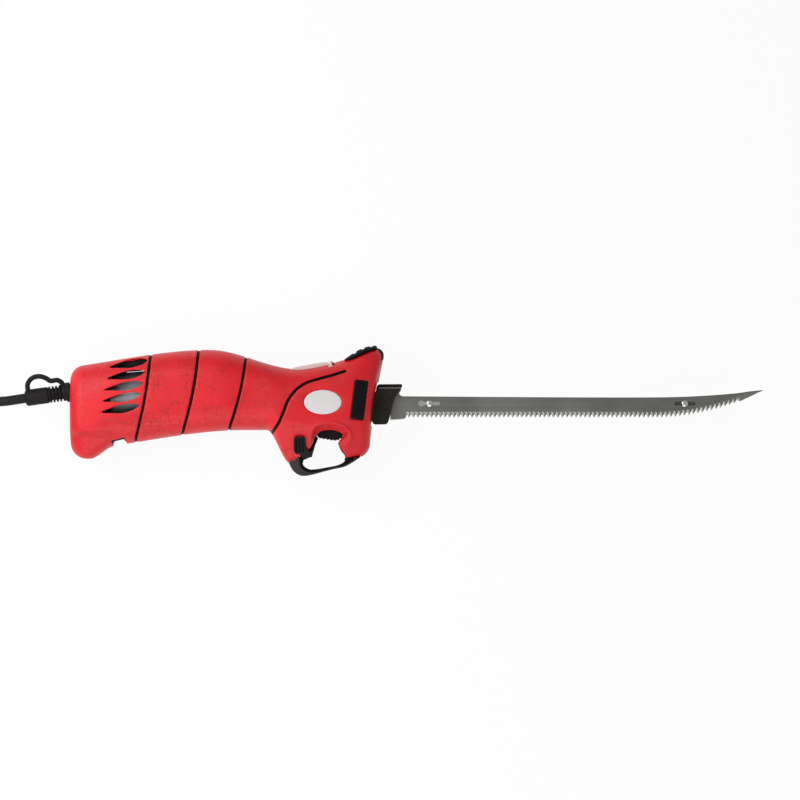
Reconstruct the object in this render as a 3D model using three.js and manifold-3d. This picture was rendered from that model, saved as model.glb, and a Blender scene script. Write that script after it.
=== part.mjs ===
import * as THREE from 'three';
import { mergeVertices } from 'three/addons/utils/BufferGeometryUtils.js';
import manifoldModule from 'manifold-3d';

const wasm = await manifoldModule();
wasm.setup();
const { Manifold, Mesh: SolidMesh } = wasm;

// Sizes are in mm. The knife lies on its left side: x runs from the rear face of the handle to the blade tip,
// y from the cutting edge to the spine with 0 on the blade's centre line, z sideways with 0 on the seam.

// Fits and walls
const fit = 0.3; // gap between pieces that meet
const skin = 1.6; // thickness of the red grip fields
const wall = 2; // thickness of the black housing under them

// Handle outline
const halfWidth = 21; // seam to the flat side that the knife lies on
const faceX = 185.4; // foot of the front face
const noseLean = 8.4; // how far the nose leans out over the foot of the front face
const leanFoot = -21; // height where the front face starts to lean
const leanTop = 29; // height of the nose tip
const leanCurve = 2.4; // exponent of the front face's sweep
const backTop = 24.2; // top line at the rear
const crestX = 86; // highest place of the grip
const crestY = 34.8;
const saddleX = 145; // hollow behind the horn
const saddleY = 23.2;
const hornFootX = 162; // where the top line turns up into the horn
const hornFootY = 27.4;
const hornRiseX = 170.7; // steepest place of the horn
const hornRiseY = 33.2;
const hornX = 177.5;
const hornY = 36.3;
const footX = 11.5; // lowest place of the heel at the rear
const footY = -32.8;
const footRootX = 27;
const footRootY = -24.7;
const neckX = 107; // slimmest place of the underside
const neckY = -15;
const dropX = 121.5; // where the underside turns down into the post
const postX = 136;
const postY = -35.6;
const chinY = -31.8; // underside of the nose
const rearWidth = halfWidth - 1; // half widths along the handle, before the side flat is taken off
const gripWidth = halfWidth + 0.8;
const neckWidth = halfWidth - 1.1;
const headWidth = halfWidth + 1.2;
const faceWidth = halfWidth - 3.5;
const roundness = 2.7; // exponent of the oval sections
const lowTaperFrom = -6; // below this height the post and nose grow slimmer
const lowTaperOver = 24;
const lowTaper = 0.42;
const rearTopRadius = 7.5;
const rearFootRadius = 10;
const rearSideRadius = 9;
const faceTopRadius = 8.5;
const faceFootRadius = 8.4;
const faceSideRadius = 5;

// Grooves between the red fields, and the slit that sweeps up into the head
const grooveWidth = 1.6;
const grooveTopX = 50; // first groove at grooveTopY
const grooveTopY = 32;
const groovePitch = 29.4;
const grooveCount = 3;
const grooveLean = 0.05;
const grooveBow = 0.0024; // of the first groove
const grooveBowStep = 0.0007; // more for each groove ahead of it
const beadIn = 0.5; // the black bead in a groove stays this far below the red
const slitWidth = 1.7;
const slitLine = [[124.6, -17], [129.3, -10.3], [132.4, -3.3], [135, 3.2], [139.8, 9.7], [145.9, 14.1],
  [154.6, 16.9], [162.4, 19], [171.2, 21.9]];

// Air vents
const ventCount = 5;
const ventX = 36; // middle of the top vent
const ventY = 25.8;
const ventPitch = 7.05;
const ventLean = 10; // degrees that the column of vents leans
const ventLength = 23.6;
const ventHeight = 5.4;
const ventTilt = 10.2; // degrees
const ventDepth = 8; // the vents reach in to this far from the seam
const baffleHalf = 2; // wall over the motor that keeps the vents from being seen through

// Notch under the rear of the grip
const notchX = 30;
const notchWidth = 7;
const notchTop = -21.2;
const notchRim = 0.9; // black edge that shows round it
const notchTilt = 13; // degrees
const notchHalf = 15;

// Finger opening, its bevel and guard, all about one centre
const holeX = 157;
const holeY = -27;
const holeOutline = [[-5.4, 8], [-2.5, 11], [2.6, 12.2], [7.6, 11.7], [11.7, 9.3], [10.8, 6], [9.5, 3.2],
  [11, -0.3], [13.6, -4], [12.6, -7.2], [8.6, -9.6], [2.6, -10.9], [-4.2, -12.1], [-8.5, -12.4],
  [-10.9, -11.6], [-12.9, -9.9], [-13.6, -6.9], [-12.4, -4.4], [-10.9, -1.8], [-8.2, 1.5], [-6.8, 4.2]];
const guardOutline = [[-22, -7.9], [-19.3, -12.9], [-15.9, -15.6], [-12.6, -16.3], [-7.5, -15.6], [-0.8, -13.8],
  [5.9, -12.1], [12.6, -10.6], [17.7, -7.9], [22.1, -4.9]];
const postSeam = [[-29, -12.2], [-13, -3.1]]; // line where the guard meets the post
const noseSeam = [[13, -5.2], [32, -3.4]]; // line where it meets the nose
const linerOutline = [[-5.4, 7.4], [-5.3, 6.4], [-6.2, 2.8], [-6.9, -0.9], [-7.5, -4], [-10.4, -5.6],
  [-13.1, -6.6], [-13.1, -8], [-16, -8], [-16, -1], [-9, 7.4]]; // black strip up the back of the opening
const guardHalf = 7;
const bevelWidth = 4.6;
const bevelFrom = 13; // the bevel starts this far from the seam

// Thumb rest on the horn
const thumbHalf = 14;
const thumbRise = 1.2;
const thumbEdge = [[169, 28.3], [173.9, 29], [178.3, 30.5], [181.8, 32.5], [185.4, 34], [188, 35],
  [189.6, 35.1]]; // lower edge of the pad
const rimEdge = [[190.9, 34.3], [192.2, 32.2], [192.6, 30.2], [192.3, 28.1]]; // its thin rim round the nose tip
const thumbRidges = 3; // valleys across the pad
const ridgeX = 175.6;
const ridgePitch = 5.2;
const ridgeWidth = 1.5;
const ridgeDeep = 0.8;

// Badge and plate on the right side
const badgeX = 156.5;
const badgeY = 2.4;
const badgeLong = 23;
const badgeHigh = 15;
const plateX = 179;
const plateY = 3.7;
const plateLong = 8.2;
const plateHigh = 24.4;
const plateLean = -7; // degrees
const trimThick = 0.8;
const trimProud = 0.3;

// Motor, on an axis that rises towards the head
const motorX = 55; // middle of the can
const motorY = 6.27;
const motorTilt = 4.18; // degrees
const motorRoom = 1.1; // between the can and the inside of the housing
const canRadius = halfWidth - skin - fit - wall - motorRoom;
const canLength = 60;
const canWall = 1.4;
const magnetThick = 2.7;
const magnetIn = 10; // from each end of the can to the magnets
const magnetLength = canLength - 2 * magnetIn;
const magnetSpread = 128; // degrees
const airGap = 0.6;
const coreIn = 14; // from each end of the can to the core, room for windings and commutator
const coreLength = canLength - 2 * coreIn;
const coreSlots = 5;
const slotWidth = 2.4;
const slotDepth = 5.5;
const windingLength = 5;
const windingIn = 1.4; // how far the windings stay inside the core's outline
const commutatorRadius = 4.6;
const commutatorLength = 6;
const brushWide = 4;
const brushLong = 4;
const brushIn = 2.7; // from the inside of the can to the outer end of a brush
const capThick = 5;
const shaftRadius = 2;
const bushRadius = 4.2;
const fanRadius = 13;
const fanBlades = 7;
const fanWidth = 7;
const fanAhead = 10; // middle of the fan, from the front of the can
const fanAt = canLength / 2 + fanAhead;
const bearingRadius = 6;
const bearingWidth = 5;
const midBearingAt = 68;
const endBearingAt = 107;
const ribThick = 3;
const motorRibIn = 8; // ribs that hold the can, in from its ends
const motorRibAt = canLength / 2 - motorRibIn;

// Worm, wheel and eccentrics
const wheelX = 147;
const wheelY = -0.8;
const toothModule = 0.9;
const wheelTeeth = 22;
const wheelThick = 5;
const toothShare = 0.34; // share of the pitch that is metal, so that both run with play
const wormLength = 16;
const eccentricity = 2.5; // half the stroke of each blade
const eccentricRadius = 5;
const eccentricPlay = 0.75; // play of the eccentric in its yoke
const axleRadius = 2;
const carrierIn = 4.1; // inner face of a carrier, from the seam
const carrierThick = 3.2;
const yokeBar = 3;
const armTop = 5;
const armBottom = -4;
const armEnd = 176;
const railX = 160;
const railLength = 11;
const railMargin = 4;
const lugX = 172;
const lugLong = 3;
const lugHigh = 5.4;

// Blades
const bladeThick = 1;
const bladeGap = 0.3; // between the two blades
const tangX = 170.5;
const tangHalf = 4.6;
const heelX = 198; // start of the exposed blade
const heelY = -8.7;
const spineY = 5.8;
const toothX = 208; // first tooth
const toothPitch = 2.8;
const toothHeight = 2.6;
const toothLineY = -7.5; // tips of the straight run of teeth
const bladeLength = 224.4; // from the base to the tip
const tipY = 9.9;
const edgeEndY = 2.3;
const baseX = 187.6; // visible part of a blade base
const baseTopX = 205.2;
const tipX = baseTopX + bladeLength;
const bellyX = tipX - 67.6; // where the edge starts to sweep up
const edgeEndX = tipX - 16.6; // last tooth
const baseTop = 10.7;
const rearBaseTop = 13.6;
const baseBottom = -11.5;
const baseBottomX = 196.5;
const baseOut = 6; // outer face of a base, from the seam
const baseRibs = 5;
const heelRivetX = baseTopX + 17.2;
const tipRivetX = tipX - 49;
const rivetY = 1.5;
const rivetRadius = 1.3;
const rivetHead = 2.5;
const rivetHeadThick = 0.7;

// Release button in the saddle
const releaseX = 137;
const releaseLong = 26.5;
const releaseHalf = 6.4;
const releaseProud = 2.2;
const releaseSink = 1.2;
const releaseTravel = 1.2;
const releaseLegIn = 2.2; // legs, back from the front end of the pad
const releaseLegX = releaseX + releaseLong - releaseLegIn;
const releaseLegZ = 9.5;
const releaseLegSize = 3;
const releaseLegEnd = 12;

// Trigger, switch and safety lock
const triggerX = 152.4;
const triggerLong = 16.2;
const triggerBottom = -21.4;
const triggerTop = -13.2;
const triggerHalf = 6;
const triggerTravel = 3;
const triggerRibs = 4;
const tongueX = 128;
const tongueTop = -15.4;
const tongueThick = 2.6;
const tongueHalf = 4;
const plungerX = 130.6;
const plungerRadius = 1.2;
const switchX = 120.6;
const switchLong = 12.8;
const switchBottom = -10.2;
const switchTall = 6.6;
const switchHalf = 3.2;
const lockX = 142.1;
const lockY = -24.2;
const lockLong = 7.4;
const lockHigh = 10.7;
const lockProud = 2.4;
const lockTravel = 3;
const lockBar = 4.4;
const springWire = 0.35;
const springTurns = 5;
const triggerSpringX = 161.5;
const triggerSpringRadius = 2.2;
const triggerSpringLength = 5;
const releaseSpringX = 145; // middle of the bowed leaf under the button
const releaseSpringLong = 9;
const releaseSpringHalf = 3;
const releaseSpringThick = 0.4;

// Housing screws, driven from the left side
const screwPlaces = [[13, 18.6], [11, -22], [114.5, 22], [183, 23.5], [177.4, -21.4]];
const screwRadius = 1.5;
const screwHead = 2.9;
const screwHeadTall = 2.2;
const screwSeat = 9; // underside of the head, from the seam
const screwReach = 9; // tip, on the other side of the seam
const bossRadius = 4.6;

// Strain relief and hanging loop, on an axis that drops away from the handle
const cordAxisY = 8.8; // height of the axis at the rear face
const cordDrop = 8; // degrees
const reliefLength = 28.5;
const sleeveRadius = 5.1;
const sleeveLength = 15;
const reliefNeck = 3.9;
const reliefRibs = 4;
const reliefRibPitch = 2.1;
const flangeRadius = 6.1;
const flangeThick = 2.4;
const loopRadius = 1.55;
const loopLine = [[-26.6, 9], [-26.9, 13.4], [-24.2, 17.2], [-19.6, 18.4], [-15.5, 17.2], [-12.8, 15.6],
  [-8.4, 16], [-5.6, 14.2], [-4.9, 11.4]];

// Cord, coil and plug; the coil lies on the floor to the left of what the photograph shows
const cordRadius = 3;
const cordSides = 8;
const coilSides = 6;
const coilSteps = 24; // steps in one turn
const coilTurns = 9;
const coilInner = 23.5; // tightest turn
const coilPitch = 6.6; // from turn to turn and from layer to layer
const coilX = -124;
const coilY = -32;
const leadLine = [[-59, 3, 9.2], [-75, 9, 2.5], [-90, 17, 0], [-103, 20.8, 0]]; // where the cord comes down
const tieThick = 1;
const tieWide = 8;
const tieAngle = 245; // degrees round the coil
const plugLength = 36;
const plugWide = 25;
const plugBack = 15;
const plugTail = 30; // straight cord between the coil and the plug
const pinLong = 17;
const pinHigh = 6.3;
const pinThick = 1.5;
const pinApart = 12.7;

const rad = Math.PI / 180;
const layerIn = skin + fit; // outside of the black housing, below the red surface
const cavityIn = layerIn + wall;

// Solids
function solid(geometry) {
  const bare = new THREE.BufferGeometry();
  bare.setAttribute('position', geometry.getAttribute('position'));
  bare.setIndex(geometry.index);
  const welded = mergeVertices(bare, 1e-4);
  const points = welded.getAttribute('position').array;
  const index = welded.index.array;
  const triangles = [];
  let volume = 0;
  const a = new THREE.Vector3();
  const b = new THREE.Vector3();
  const c = new THREE.Vector3();
  for (let i = 0; i < index.length; i += 3) {
    const [p, q, r] = [index[i], index[i + 1], index[i + 2]];
    if (p === q || q === r || r === p) {
      continue;
    }
    triangles.push(p, q, r);
    a.fromArray(points, 3 * p);
    b.fromArray(points, 3 * q);
    c.fromArray(points, 3 * r);
    volume += a.dot(b.cross(c));
  }
  if (volume < 0) {
    triangles.reverse();
  }
  return Manifold.ofMesh(new SolidMesh({
    numProp: 3,
    vertProperties: Float32Array.from(points),
    triVerts: Uint32Array.from(triangles),
  }));
}

function join(first, ...others) {
  return others.reduce((whole, piece) => whole.add(piece), first);
}

function cut(first, ...others) {
  return others.reduce((whole, piece) => whole.subtract(piece), first);
}

function box(x0, x1, y0, y1, z0, z1) {
  const geometry = new THREE.BoxGeometry(x1 - x0, y1 - y0, z1 - z0);
  return solid(geometry.translate((x0 + x1) / 2, (y0 + y1) / 2, (z0 + z1) / 2));
}

function prism(points, z0, z1) {
  const outline = new THREE.Shape(points.map(([x, y]) => new THREE.Vector2(x, y)));
  const geometry = new THREE.ExtrudeGeometry(outline, { depth: z1 - z0, bevelEnabled: false });
  return solid(geometry.translate(0, 0, z0));
}

function pin(x, y, z0, z1, radius, sides = 14) {
  const geometry = new THREE.CylinderGeometry(radius, radius, z1 - z0, sides);
  return solid(geometry.rotateX(Math.PI / 2).translate(x, y, (z0 + z1) / 2));
}

// A closed skin over rings that all have the same number of points
function skinOver(rings) {
  const count = rings[0].length;
  const points = [];
  rings.forEach((ring) => ring.forEach((p) => points.push(...p)));
  const index = [];
  for (let k = 0; k + 1 < rings.length; k += 1) {
    for (let i = 0; i < count; i += 1) {
      const j = (i + 1) % count;
      const [p, q, r, s] = [k * count + i, k * count + j, (k + 1) * count + j, (k + 1) * count + i];
      index.push(p, q, r, p, r, s);
    }
  }
  [0, rings.length - 1].forEach((k) => {
    const ring = rings[k];
    const centre = points.length / 3;
    [0, 1, 2].forEach((axis) => points.push(ring.reduce((sum, p) => sum + p[axis], 0) / count));
    for (let i = 0; i < count; i += 1) {
      const [p, q] = [k * count + i, k * count + ((i + 1) % count)];
      index.push(...(k === 0 ? [centre, q, p] : [centre, p, q]));
    }
  });
  const geometry = new THREE.BufferGeometry();
  geometry.setAttribute('position', new THREE.Float32BufferAttribute(points, 3));
  geometry.setIndex(index);
  return solid(geometry);
}

// A round tube along points, with rings square to the path
function tube(points, radius, sides) {
  const path = points.map((p) => new THREE.Vector3(...p));
  const ahead = new THREE.Vector3();
  const side = new THREE.Vector3();
  const upright = new THREE.Vector3(0, 0, 1);
  const rings = path.map((p, k) => {
    ahead.subVectors(path[Math.min(k + 1, path.length - 1)], path[Math.max(k - 1, 0)]).normalize();
    side.crossVectors(upright, ahead);
    if (k === 0 && side.length() < 0.2) {
      upright.set(1, 0, 0);
      side.crossVectors(upright, ahead);
    }
    side.normalize();
    const over = new THREE.Vector3().crossVectors(ahead, side);
    return Array.from({ length: sides }, (_, i) => {
      const turn = (2 * Math.PI * (i + 0.5)) / sides;
      const [across, up] = [radius * Math.cos(turn), radius * Math.sin(turn)];
      return p.clone().addScaledVector(side, across).addScaledVector(over, up).toArray();
    });
  });
  return skinOver(rings);
}

// A turned piece about the local x axis: pairs of place and radius, closed into a ring where it has a bore
function turned(profile, sides = 20) {
  const points = [...profile, profile[0]].map(([u, r]) => new THREE.Vector2(r, u));
  return solid(new THREE.LatheGeometry(points, sides).rotateZ(-Math.PI / 2));
}

function ringAt(u0, u1, inner, outer, sides = 20) {
  return turned([[u0, inner], [u1, inner], [u1, outer], [u0, outer]], sides);
}

function roundBar(u0, u1, radius, sides = 14) {
  const geometry = new THREE.CylinderGeometry(radius, radius, u1 - u0, sides);
  return solid(geometry.rotateZ(-Math.PI / 2).translate((u0 + u1) / 2, 0, 0));
}

function onMotorAxis(piece) {
  return piece.rotate([0, 0, motorTilt]).translate([motorX, motorY, 0]);
}

function onCordAxis(piece) {
  return piece.rotate([0, 0, cordDrop]).translate([0, cordAxisY, 0]);
}

// Curves
function smooth(x) {
  const t = Math.min(Math.max(x, 0), 1);
  return t * t * (3 - 2 * t);
}

// Cubic through places given as x, y and slope
function through(places, x) {
  if (x <= places[0][0]) {
    return places[0][1];
  }
  const k = places.findIndex((place) => place[0] >= x);
  if (k < 0) {
    return places[places.length - 1][1];
  }
  const [x0, y0, m0] = places[k - 1];
  const [x1, y1, m1] = places[k];
  const h = x1 - x0;
  const t = (x - x0) / h;
  const rise = t * t * (3 - 2 * t);
  return y0 + (y1 - y0) * rise + h * t * (1 - t) * (m0 * (1 - t) - m1 * t);
}

function corner(distance, radius) {
  const d = Math.max(distance, 0);
  return d < radius ? radius - Math.sqrt(radius ** 2 - (radius - d) ** 2) : 0;
}

function curve(points, count, closed) {
  const line = new THREE.CatmullRomCurve3(points.map(([x, y, z]) => new THREE.Vector3(x, y, z || 0)), closed);
  const steps = closed ? count : count - 1;
  return Array.from({ length: count }, (_, i) => line.getPoint(i / steps).toArray());
}

// A closed outline moved outwards, by one distance or by a distance for each point
function outset(points, distance) {
  const area = points.reduce((sum, [x, y], i) => {
    const [u, v] = points[(i + 1) % points.length];
    return sum + x * v - u * y;
  }, 0);
  return points.map(([x, y], i) => {
    const [px, py] = points[(i + points.length - 1) % points.length];
    const [qx, qy] = points[(i + 1) % points.length];
    const [dx, dy] = [qx - px, qy - py];
    const far = (typeof distance === 'function' ? distance(x, y) : distance) * Math.sign(area);
    const length = Math.hypot(dx, dy);
    return [x + (far * dy) / length, y - (far * dx) / length];
  });
}

function fromHole(points) {
  return points.map(([x, y]) => [holeX + x, holeY + y]);
}

// Handle surface: top line, bottom line and half width along it
const topPlaces = [[0, backTop, 0.13], [crestX, crestY, 0], [saddleX, saddleY, 0.12],
  [hornFootX, hornFootY, 0.33], [hornRiseX, hornRiseY, 0.95], [hornX, hornY, 0], [faceX, hornY, 0]];
const bottomPlaces = [[0, footY, 0], [footX, footY, 0], [footRootX, footRootY, 0.15], [neckX, neckY, 0],
  [dropX, neckY, 0], [postX, postY, 0], [(postX + faceX) / 2, postY, 0], [faceX, chinY, 0]];
const widthPlaces = [[0, rearWidth, 0.1], [footRootX, gripWidth, 0], [crestX + 4, gripWidth, 0],
  [neckX + 3, neckWidth, 0], [saddleX, headWidth, 0], [(saddleX + faceX) / 2, headWidth, 0],
  [faceX, faceWidth, -0.2]];

function topAt(s) {
  return through(topPlaces, s) - corner(s, rearTopRadius) - corner(faceX - s, faceTopRadius);
}

function bottomAt(s) {
  return through(bottomPlaces, s) + corner(s, rearFootRadius) + corner(faceX - s, faceFootRadius);
}

function widthAt(s) {
  return through(widthPlaces, s) - corner(s, rearSideRadius) - corner(faceX - s, faceSideRadius);
}

// A line moved in by a distance, or out where the distance is negative, square to itself
function movedIn(line, s, distance) {
  const far = Math.abs(distance);
  let best = null;
  for (let k = -6; k <= 6; k += 1) {
    const dx = (far * k) / 6;
    if (s + dx < -1e-9 || s + dx > faceX + 1e-9) {
      continue;
    }
    const drop = Math.sqrt(Math.max(far ** 2 - dx ** 2, 0));
    const value = distance > 0 ? line(s + dx) - drop : line(s + dx) + drop;
    best = best === null || (distance > 0 ? value < best : value > best) ? value : best;
  }
  return best;
}

function leanAt(s, y) {
  const share = Math.max((y - leanFoot) / (leanTop - leanFoot), 0);
  return noseLean * smooth((s - saddleX) / (faceX - saddleX)) * Math.min(share, 1.3) ** leanCurve;
}

// Place along the handle whose top line stands at x
function stationAt(x) {
  let s = x;
  for (let k = 0; k < 12; k += 1) {
    s = x - leanAt(s, topAt(s));
  }
  return s;
}

function stations(inset, detail) {
  const marks = [];
  const dropEnd = faceX - faceFootRadius;
  const spans = [[rearFootRadius, dropX, detail.grip], [dropX, postX, detail.drop],
    [postX, dropEnd, detail.head]];
  for (let i = 0; i < detail.arc; i += 1) {
    marks.push(rearFootRadius * (1 - Math.cos((i / detail.arc) * (Math.PI / 2))));
  }
  spans.forEach(([from, to, count]) => {
    for (let i = 0; i < count; i += 1) {
      marks.push(from + ((to - from) * i) / count);
    }
  });
  for (let i = 0; i <= detail.arc; i += 1) {
    marks.push(dropEnd + faceFootRadius * Math.sin((i / detail.arc) * (Math.PI / 2)));
  }
  return marks.map((s) => inset + (s * (faceX - 2 * inset)) / faceX);
}

function bulk(inset, detail) {
  const power = 2 / roundness;
  const rings = stations(inset, detail).map((s) => {
    const top = movedIn(topAt, s, inset);
    const bottom = -movedIn((x) => -bottomAt(x), s, inset);
    const width = movedIn(widthAt, s, inset);
    const middle = (top + bottom) / 2;
    return Array.from({ length: detail.ring }, (_, i) => {
      const turn = (2 * Math.PI * i) / detail.ring;
      const [c, d] = [Math.cos(turn), Math.sin(turn)];
      const y = middle + ((top - bottom) / 2) * Math.sign(c) * Math.abs(c) ** power;
      const lowered = smooth((lowTaperFrom - y) / lowTaperOver) * smooth((s - neckX) / (postX - neckX));
      const slim = 1 - lowTaper * lowered;
      const reach = Math.min(width * slim * Math.abs(d) ** power, halfWidth - inset);
      const z = Math.abs(d) < 1e-9 ? 0 : Math.sign(d) * reach;
      return [s + leanAt(s, y), y, z];
    });
  });
  return skinOver(rings);
}

const far = 2 * halfWidth; // past both sides
const hole = fromHole(curve(holeOutline, 22, true).map(([x, y]) => [x, y]));

function bevelShare(x, y) {
  return smooth((x - holeX + 10) / 8) * smooth((y - holeY + 4) / 8);
}

function fingerSolid(inset) {
  const plain = outset(hole, inset);
  const wide = outset(hole, (x, y) => inset + bevelWidth * bevelShare(x, y));
  const open = halfWidth + 2;
  const rings = [[wide, -open], [plain, -bevelFrom], [plain, bevelFrom], [wide, open]];
  return skinOver(rings.map(([ring, z]) => ring.map(([x, y]) => [x, y, z])));
}

const seamLine = fromHole([...postSeam, ...noseSeam]);
function belowSeam(rise) {
  const low = holeY - far;
  const line = seamLine.map(([x, y]) => [x, y + rise]);
  return prism([...line, [line[3][0], low], [line[0][0], low]], -far, far);
}

function layer(inset, detail) {
  return cut(bulk(inset, detail), fingerSolid(inset), belowSeam(inset));
}

const fineDetail = { ring: 20, arc: 3, grip: 9, drop: 5, head: 8 };
const plainDetail = { ring: 16, arc: 2, grip: 6, drop: 5, head: 7 };
const coarseDetail = { ring: 10, arc: 1, grip: 5, drop: 3, head: 4 };
const outside = layer(0, fineDetail);
const underSkin = layer(skin, plainDetail);
const housing = layer(layerIn, plainDetail);
const cavity = layer(cavityIn, coarseDetail);
const rightHalf = box(-faceX, 2 * faceX, -faceX, faceX, fit / 2, far);
const leftHalf = box(-faceX, 2 * faceX, -faceX, faceX, -far, -fit / 2);

// Nodes
const group = new THREE.Group();
group.name = 'electric_fillet_knife';
const looks = {
  red: [0xb81e2a, 0.45, 0],
  black: [0x161616, 0.55, 0],
  rubber: [0x1b1a1a, 0.7, 0],
  pale: [0xe6dcda, 0.5, 0],
  steel: [0x8c8c8a, 0.3, 1],
  blade: [0x6e6d6a, 0.35, 1],
  iron: [0x4a4a4c, 0.5, 0.8],
  copper: [0xb0673a, 0.4, 1],
  magnet: [0x3a3b3d, 0.7, 0],
  brass: [0xb9964c, 0.35, 1],
  carbon: [0x222222, 0.8, 0],
  nylon: [0xd9d4c4, 0.5, 0],
};

const pieces = [];
function add(name, look, piece) {
  pieces.push({ name, look, piece });
}

// Openings through the housing and the red fields
const ventOutline = [[-0.5, 0], [-0.22, 0.66], [0.06, 1], [0.32, 0.86], [0.5, 0.1], [0.34, -0.8], [0.08, -0.98],
  [-0.2, -0.5]];
const vents = Array.from({ length: ventCount }, (_, i) => {
  const lean = ventLean * rad;
  const [cx, cy] = [ventX - i * ventPitch * Math.sin(lean), ventY - i * ventPitch * Math.cos(lean)];
  const [c, s] = [Math.cos(ventTilt * rad), Math.sin(ventTilt * rad)];
  const leaf = ventOutline.map(([u, v]) => {
    const [a, b] = [u * ventLength, (v * ventHeight) / 2];
    return [cx + a * c - b * s, cy + a * s + b * c];
  });
  return [prism(leaf, ventDepth, far), prism(leaf, -far, -ventDepth)];
}).flat();

const ventSpan = (ventCount - 1) * ventPitch;
const ventFrame = [[1, 0], [1, 1], [-1, 1], [-1, 0]].map(([u, v]) => {
  const [lean, tilt] = [ventLean * rad, ventTilt * rad];
  const along = (u * ventLength) / 2;
  const down = v * ventSpan + (v ? 1 : -1) * (ventHeight / 2);
  return [ventX + along * Math.cos(tilt) - down * Math.sin(lean),
    ventY + along * Math.sin(tilt) - down * Math.cos(lean)];
});
const ventWindows = [prism(ventFrame, ventDepth, far), prism(ventFrame, -far, -ventDepth)];

const slotTop = rearBaseTop + 3 * fit;
const slotBottom = baseBottom - 3 * fit;
const bladeSlot = box(armEnd + 1, tipX, slotBottom, slotTop, -baseOut - fit, baseOut + fit);
const notchCut = (grow) => {
  const half = notchWidth / 2 + grow;
  return box(-half, half, -20, grow, -notchHalf - grow, notchHalf + grow).rotate([0, 0, notchTilt])
    .translate([notchX, notchTop, 0]);
};
const triggerGate = box(triggerX - fit, triggerX + triggerLong + fit, triggerBottom, neckY + wall + skin + 6,
  -triggerHalf - fit, triggerHalf + fit);
const tongueGate = box(tongueX - fit, triggerX, tongueTop - tongueThick - fit, tongueTop + triggerTravel + fit,
  -tongueHalf - fit, tongueHalf + fit);
const lockRoom = lockBar / 2 + fit;
const lockGate = box(lockX - lockRoom, lockX + lockRoom, lockY - lockRoom - lockTravel, lockY + lockRoom, -far,
  far);

const releaseEnd = releaseX + releaseLong;
function releaseOutline(grow, rise, sink) {
  const count = 8;
  const line = (up) => Array.from({ length: count + 1 }, (_, i) => {
    const x = releaseX - grow + ((releaseLong + 2 * grow) * i) / count;
    const bulge = Math.sin((Math.PI * i) / count) ** 0.6;
    return [x + leanAt(x, topAt(x)), topAt(x) + (up ? rise * bulge : -sink)];
  });
  return [...line(true), ...line(false).reverse()];
}
const releasePad = prism(releaseOutline(0, releaseProud, releaseSink), -releaseHalf, releaseHalf);
const releaseDeep = releaseSink + releaseTravel + 2 * releaseSpringThick;
const releaseRoom = prism(releaseOutline(fit, 30, releaseDeep + fit), -releaseHalf - fit, releaseHalf + fit);
const legSides = [-1, 1];
const legFoot = releaseLegEnd - releaseTravel - fit; // lowest place that a leg comes to
function releaseLeg(side, grow, low) {
  const [half, z] = [releaseLegSize / 2 + grow, side * releaseLegZ];
  return box(releaseLegX - half, releaseLegX + half, low, topAt(releaseLegX) + 1, z - half, z + half);
}
const releaseWing = legSides.map((side) => {
  const half = releaseLegSize / 2;
  const [z0, z1] = [releaseHalf - 1, releaseLegZ + half];
  const y1 = topAt(releaseLegX) + releaseProud * 0.4;
  return box(releaseLegX - half, releaseLegX + half, y1 - 3, y1, Math.min(side * z0, side * z1),
    Math.max(side * z0, side * z1));
});
const wingRoom = legSides.map((side) => {
  const half = releaseLegSize / 2 + fit;
  const [z0, z1] = [0, releaseLegZ + half];
  const y1 = topAt(releaseLegX) + releaseProud * 0.4;
  return box(releaseLegX - half, releaseLegX + half, y1 - 3 - releaseTravel - fit, y1 + 30,
    Math.min(side * z0, side * z1), Math.max(side * z0, side * z1));
});
const releaseRooms = [releaseRoom, ...wingRoom, ...legSides.map((side) => releaseLeg(side, fit, legFoot))];

const reliefHole = onCordAxis(roundBar(-2, cavityIn + 6, sleeveRadius + fit));
const reliefSeat = onCordAxis(roundBar(-2, 0.8, flangeRadius + fit, 20));
const screwCutters = screwPlaces.map(([x, y]) => join(
  pin(x, y, -screwSeat - 1, screwReach + fit, screwRadius + fit, 8),
  pin(x, y, -far, -screwSeat, screwHead + fit, 10),
));

// Grooves, and the beads of the housing that stand in them
function grooveX(k, y) {
  const down = grooveTopY - y;
  return grooveTopX + k * groovePitch - grooveLean * down - (grooveBow + grooveBowStep * k) * down ** 2;
}
const grooveHeights = Array.from({ length: 9 }, (_, i) => 44 - i * 10);
function grooveBands(half) {
  return Array.from({ length: grooveCount }, (_, k) => {
    const edge = (side) => grooveHeights.map((y) => [grooveX(k, y) + side * half, y]);
    return prism([...edge(1), ...edge(-1).reverse()], -far, far);
  });
}
const slitPath = curve(slitLine, 10, false).map(([x, y]) => [x, y]);
function slitBand(half) {
  const edge = (side) => slitPath.map(([x, y], i) => {
    const [px, py] = slitPath[Math.max(i - 1, 0)];
    const [qx, qy] = slitPath[Math.min(i + 1, slitPath.length - 1)];
    const length = Math.hypot(qx - px, qy - py);
    return [x - (side * half * (qy - py)) / length, y + (side * half * (qx - px)) / length];
  });
  return prism([...edge(1), ...edge(-1).reverse()], -far, far);
}
const grooves = [...grooveBands(grooveWidth / 2), slitBand(slitWidth / 2)];
const beadLayer = cut(bulk(beadIn, plainDetail), bulk(layerIn + wall / 2, plainDetail));
const beads = [...grooveBands(grooveWidth / 2 - fit), slitBand(slitWidth / 2 - fit)]
  .map((band) => beadLayer.intersect(band));

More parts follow.
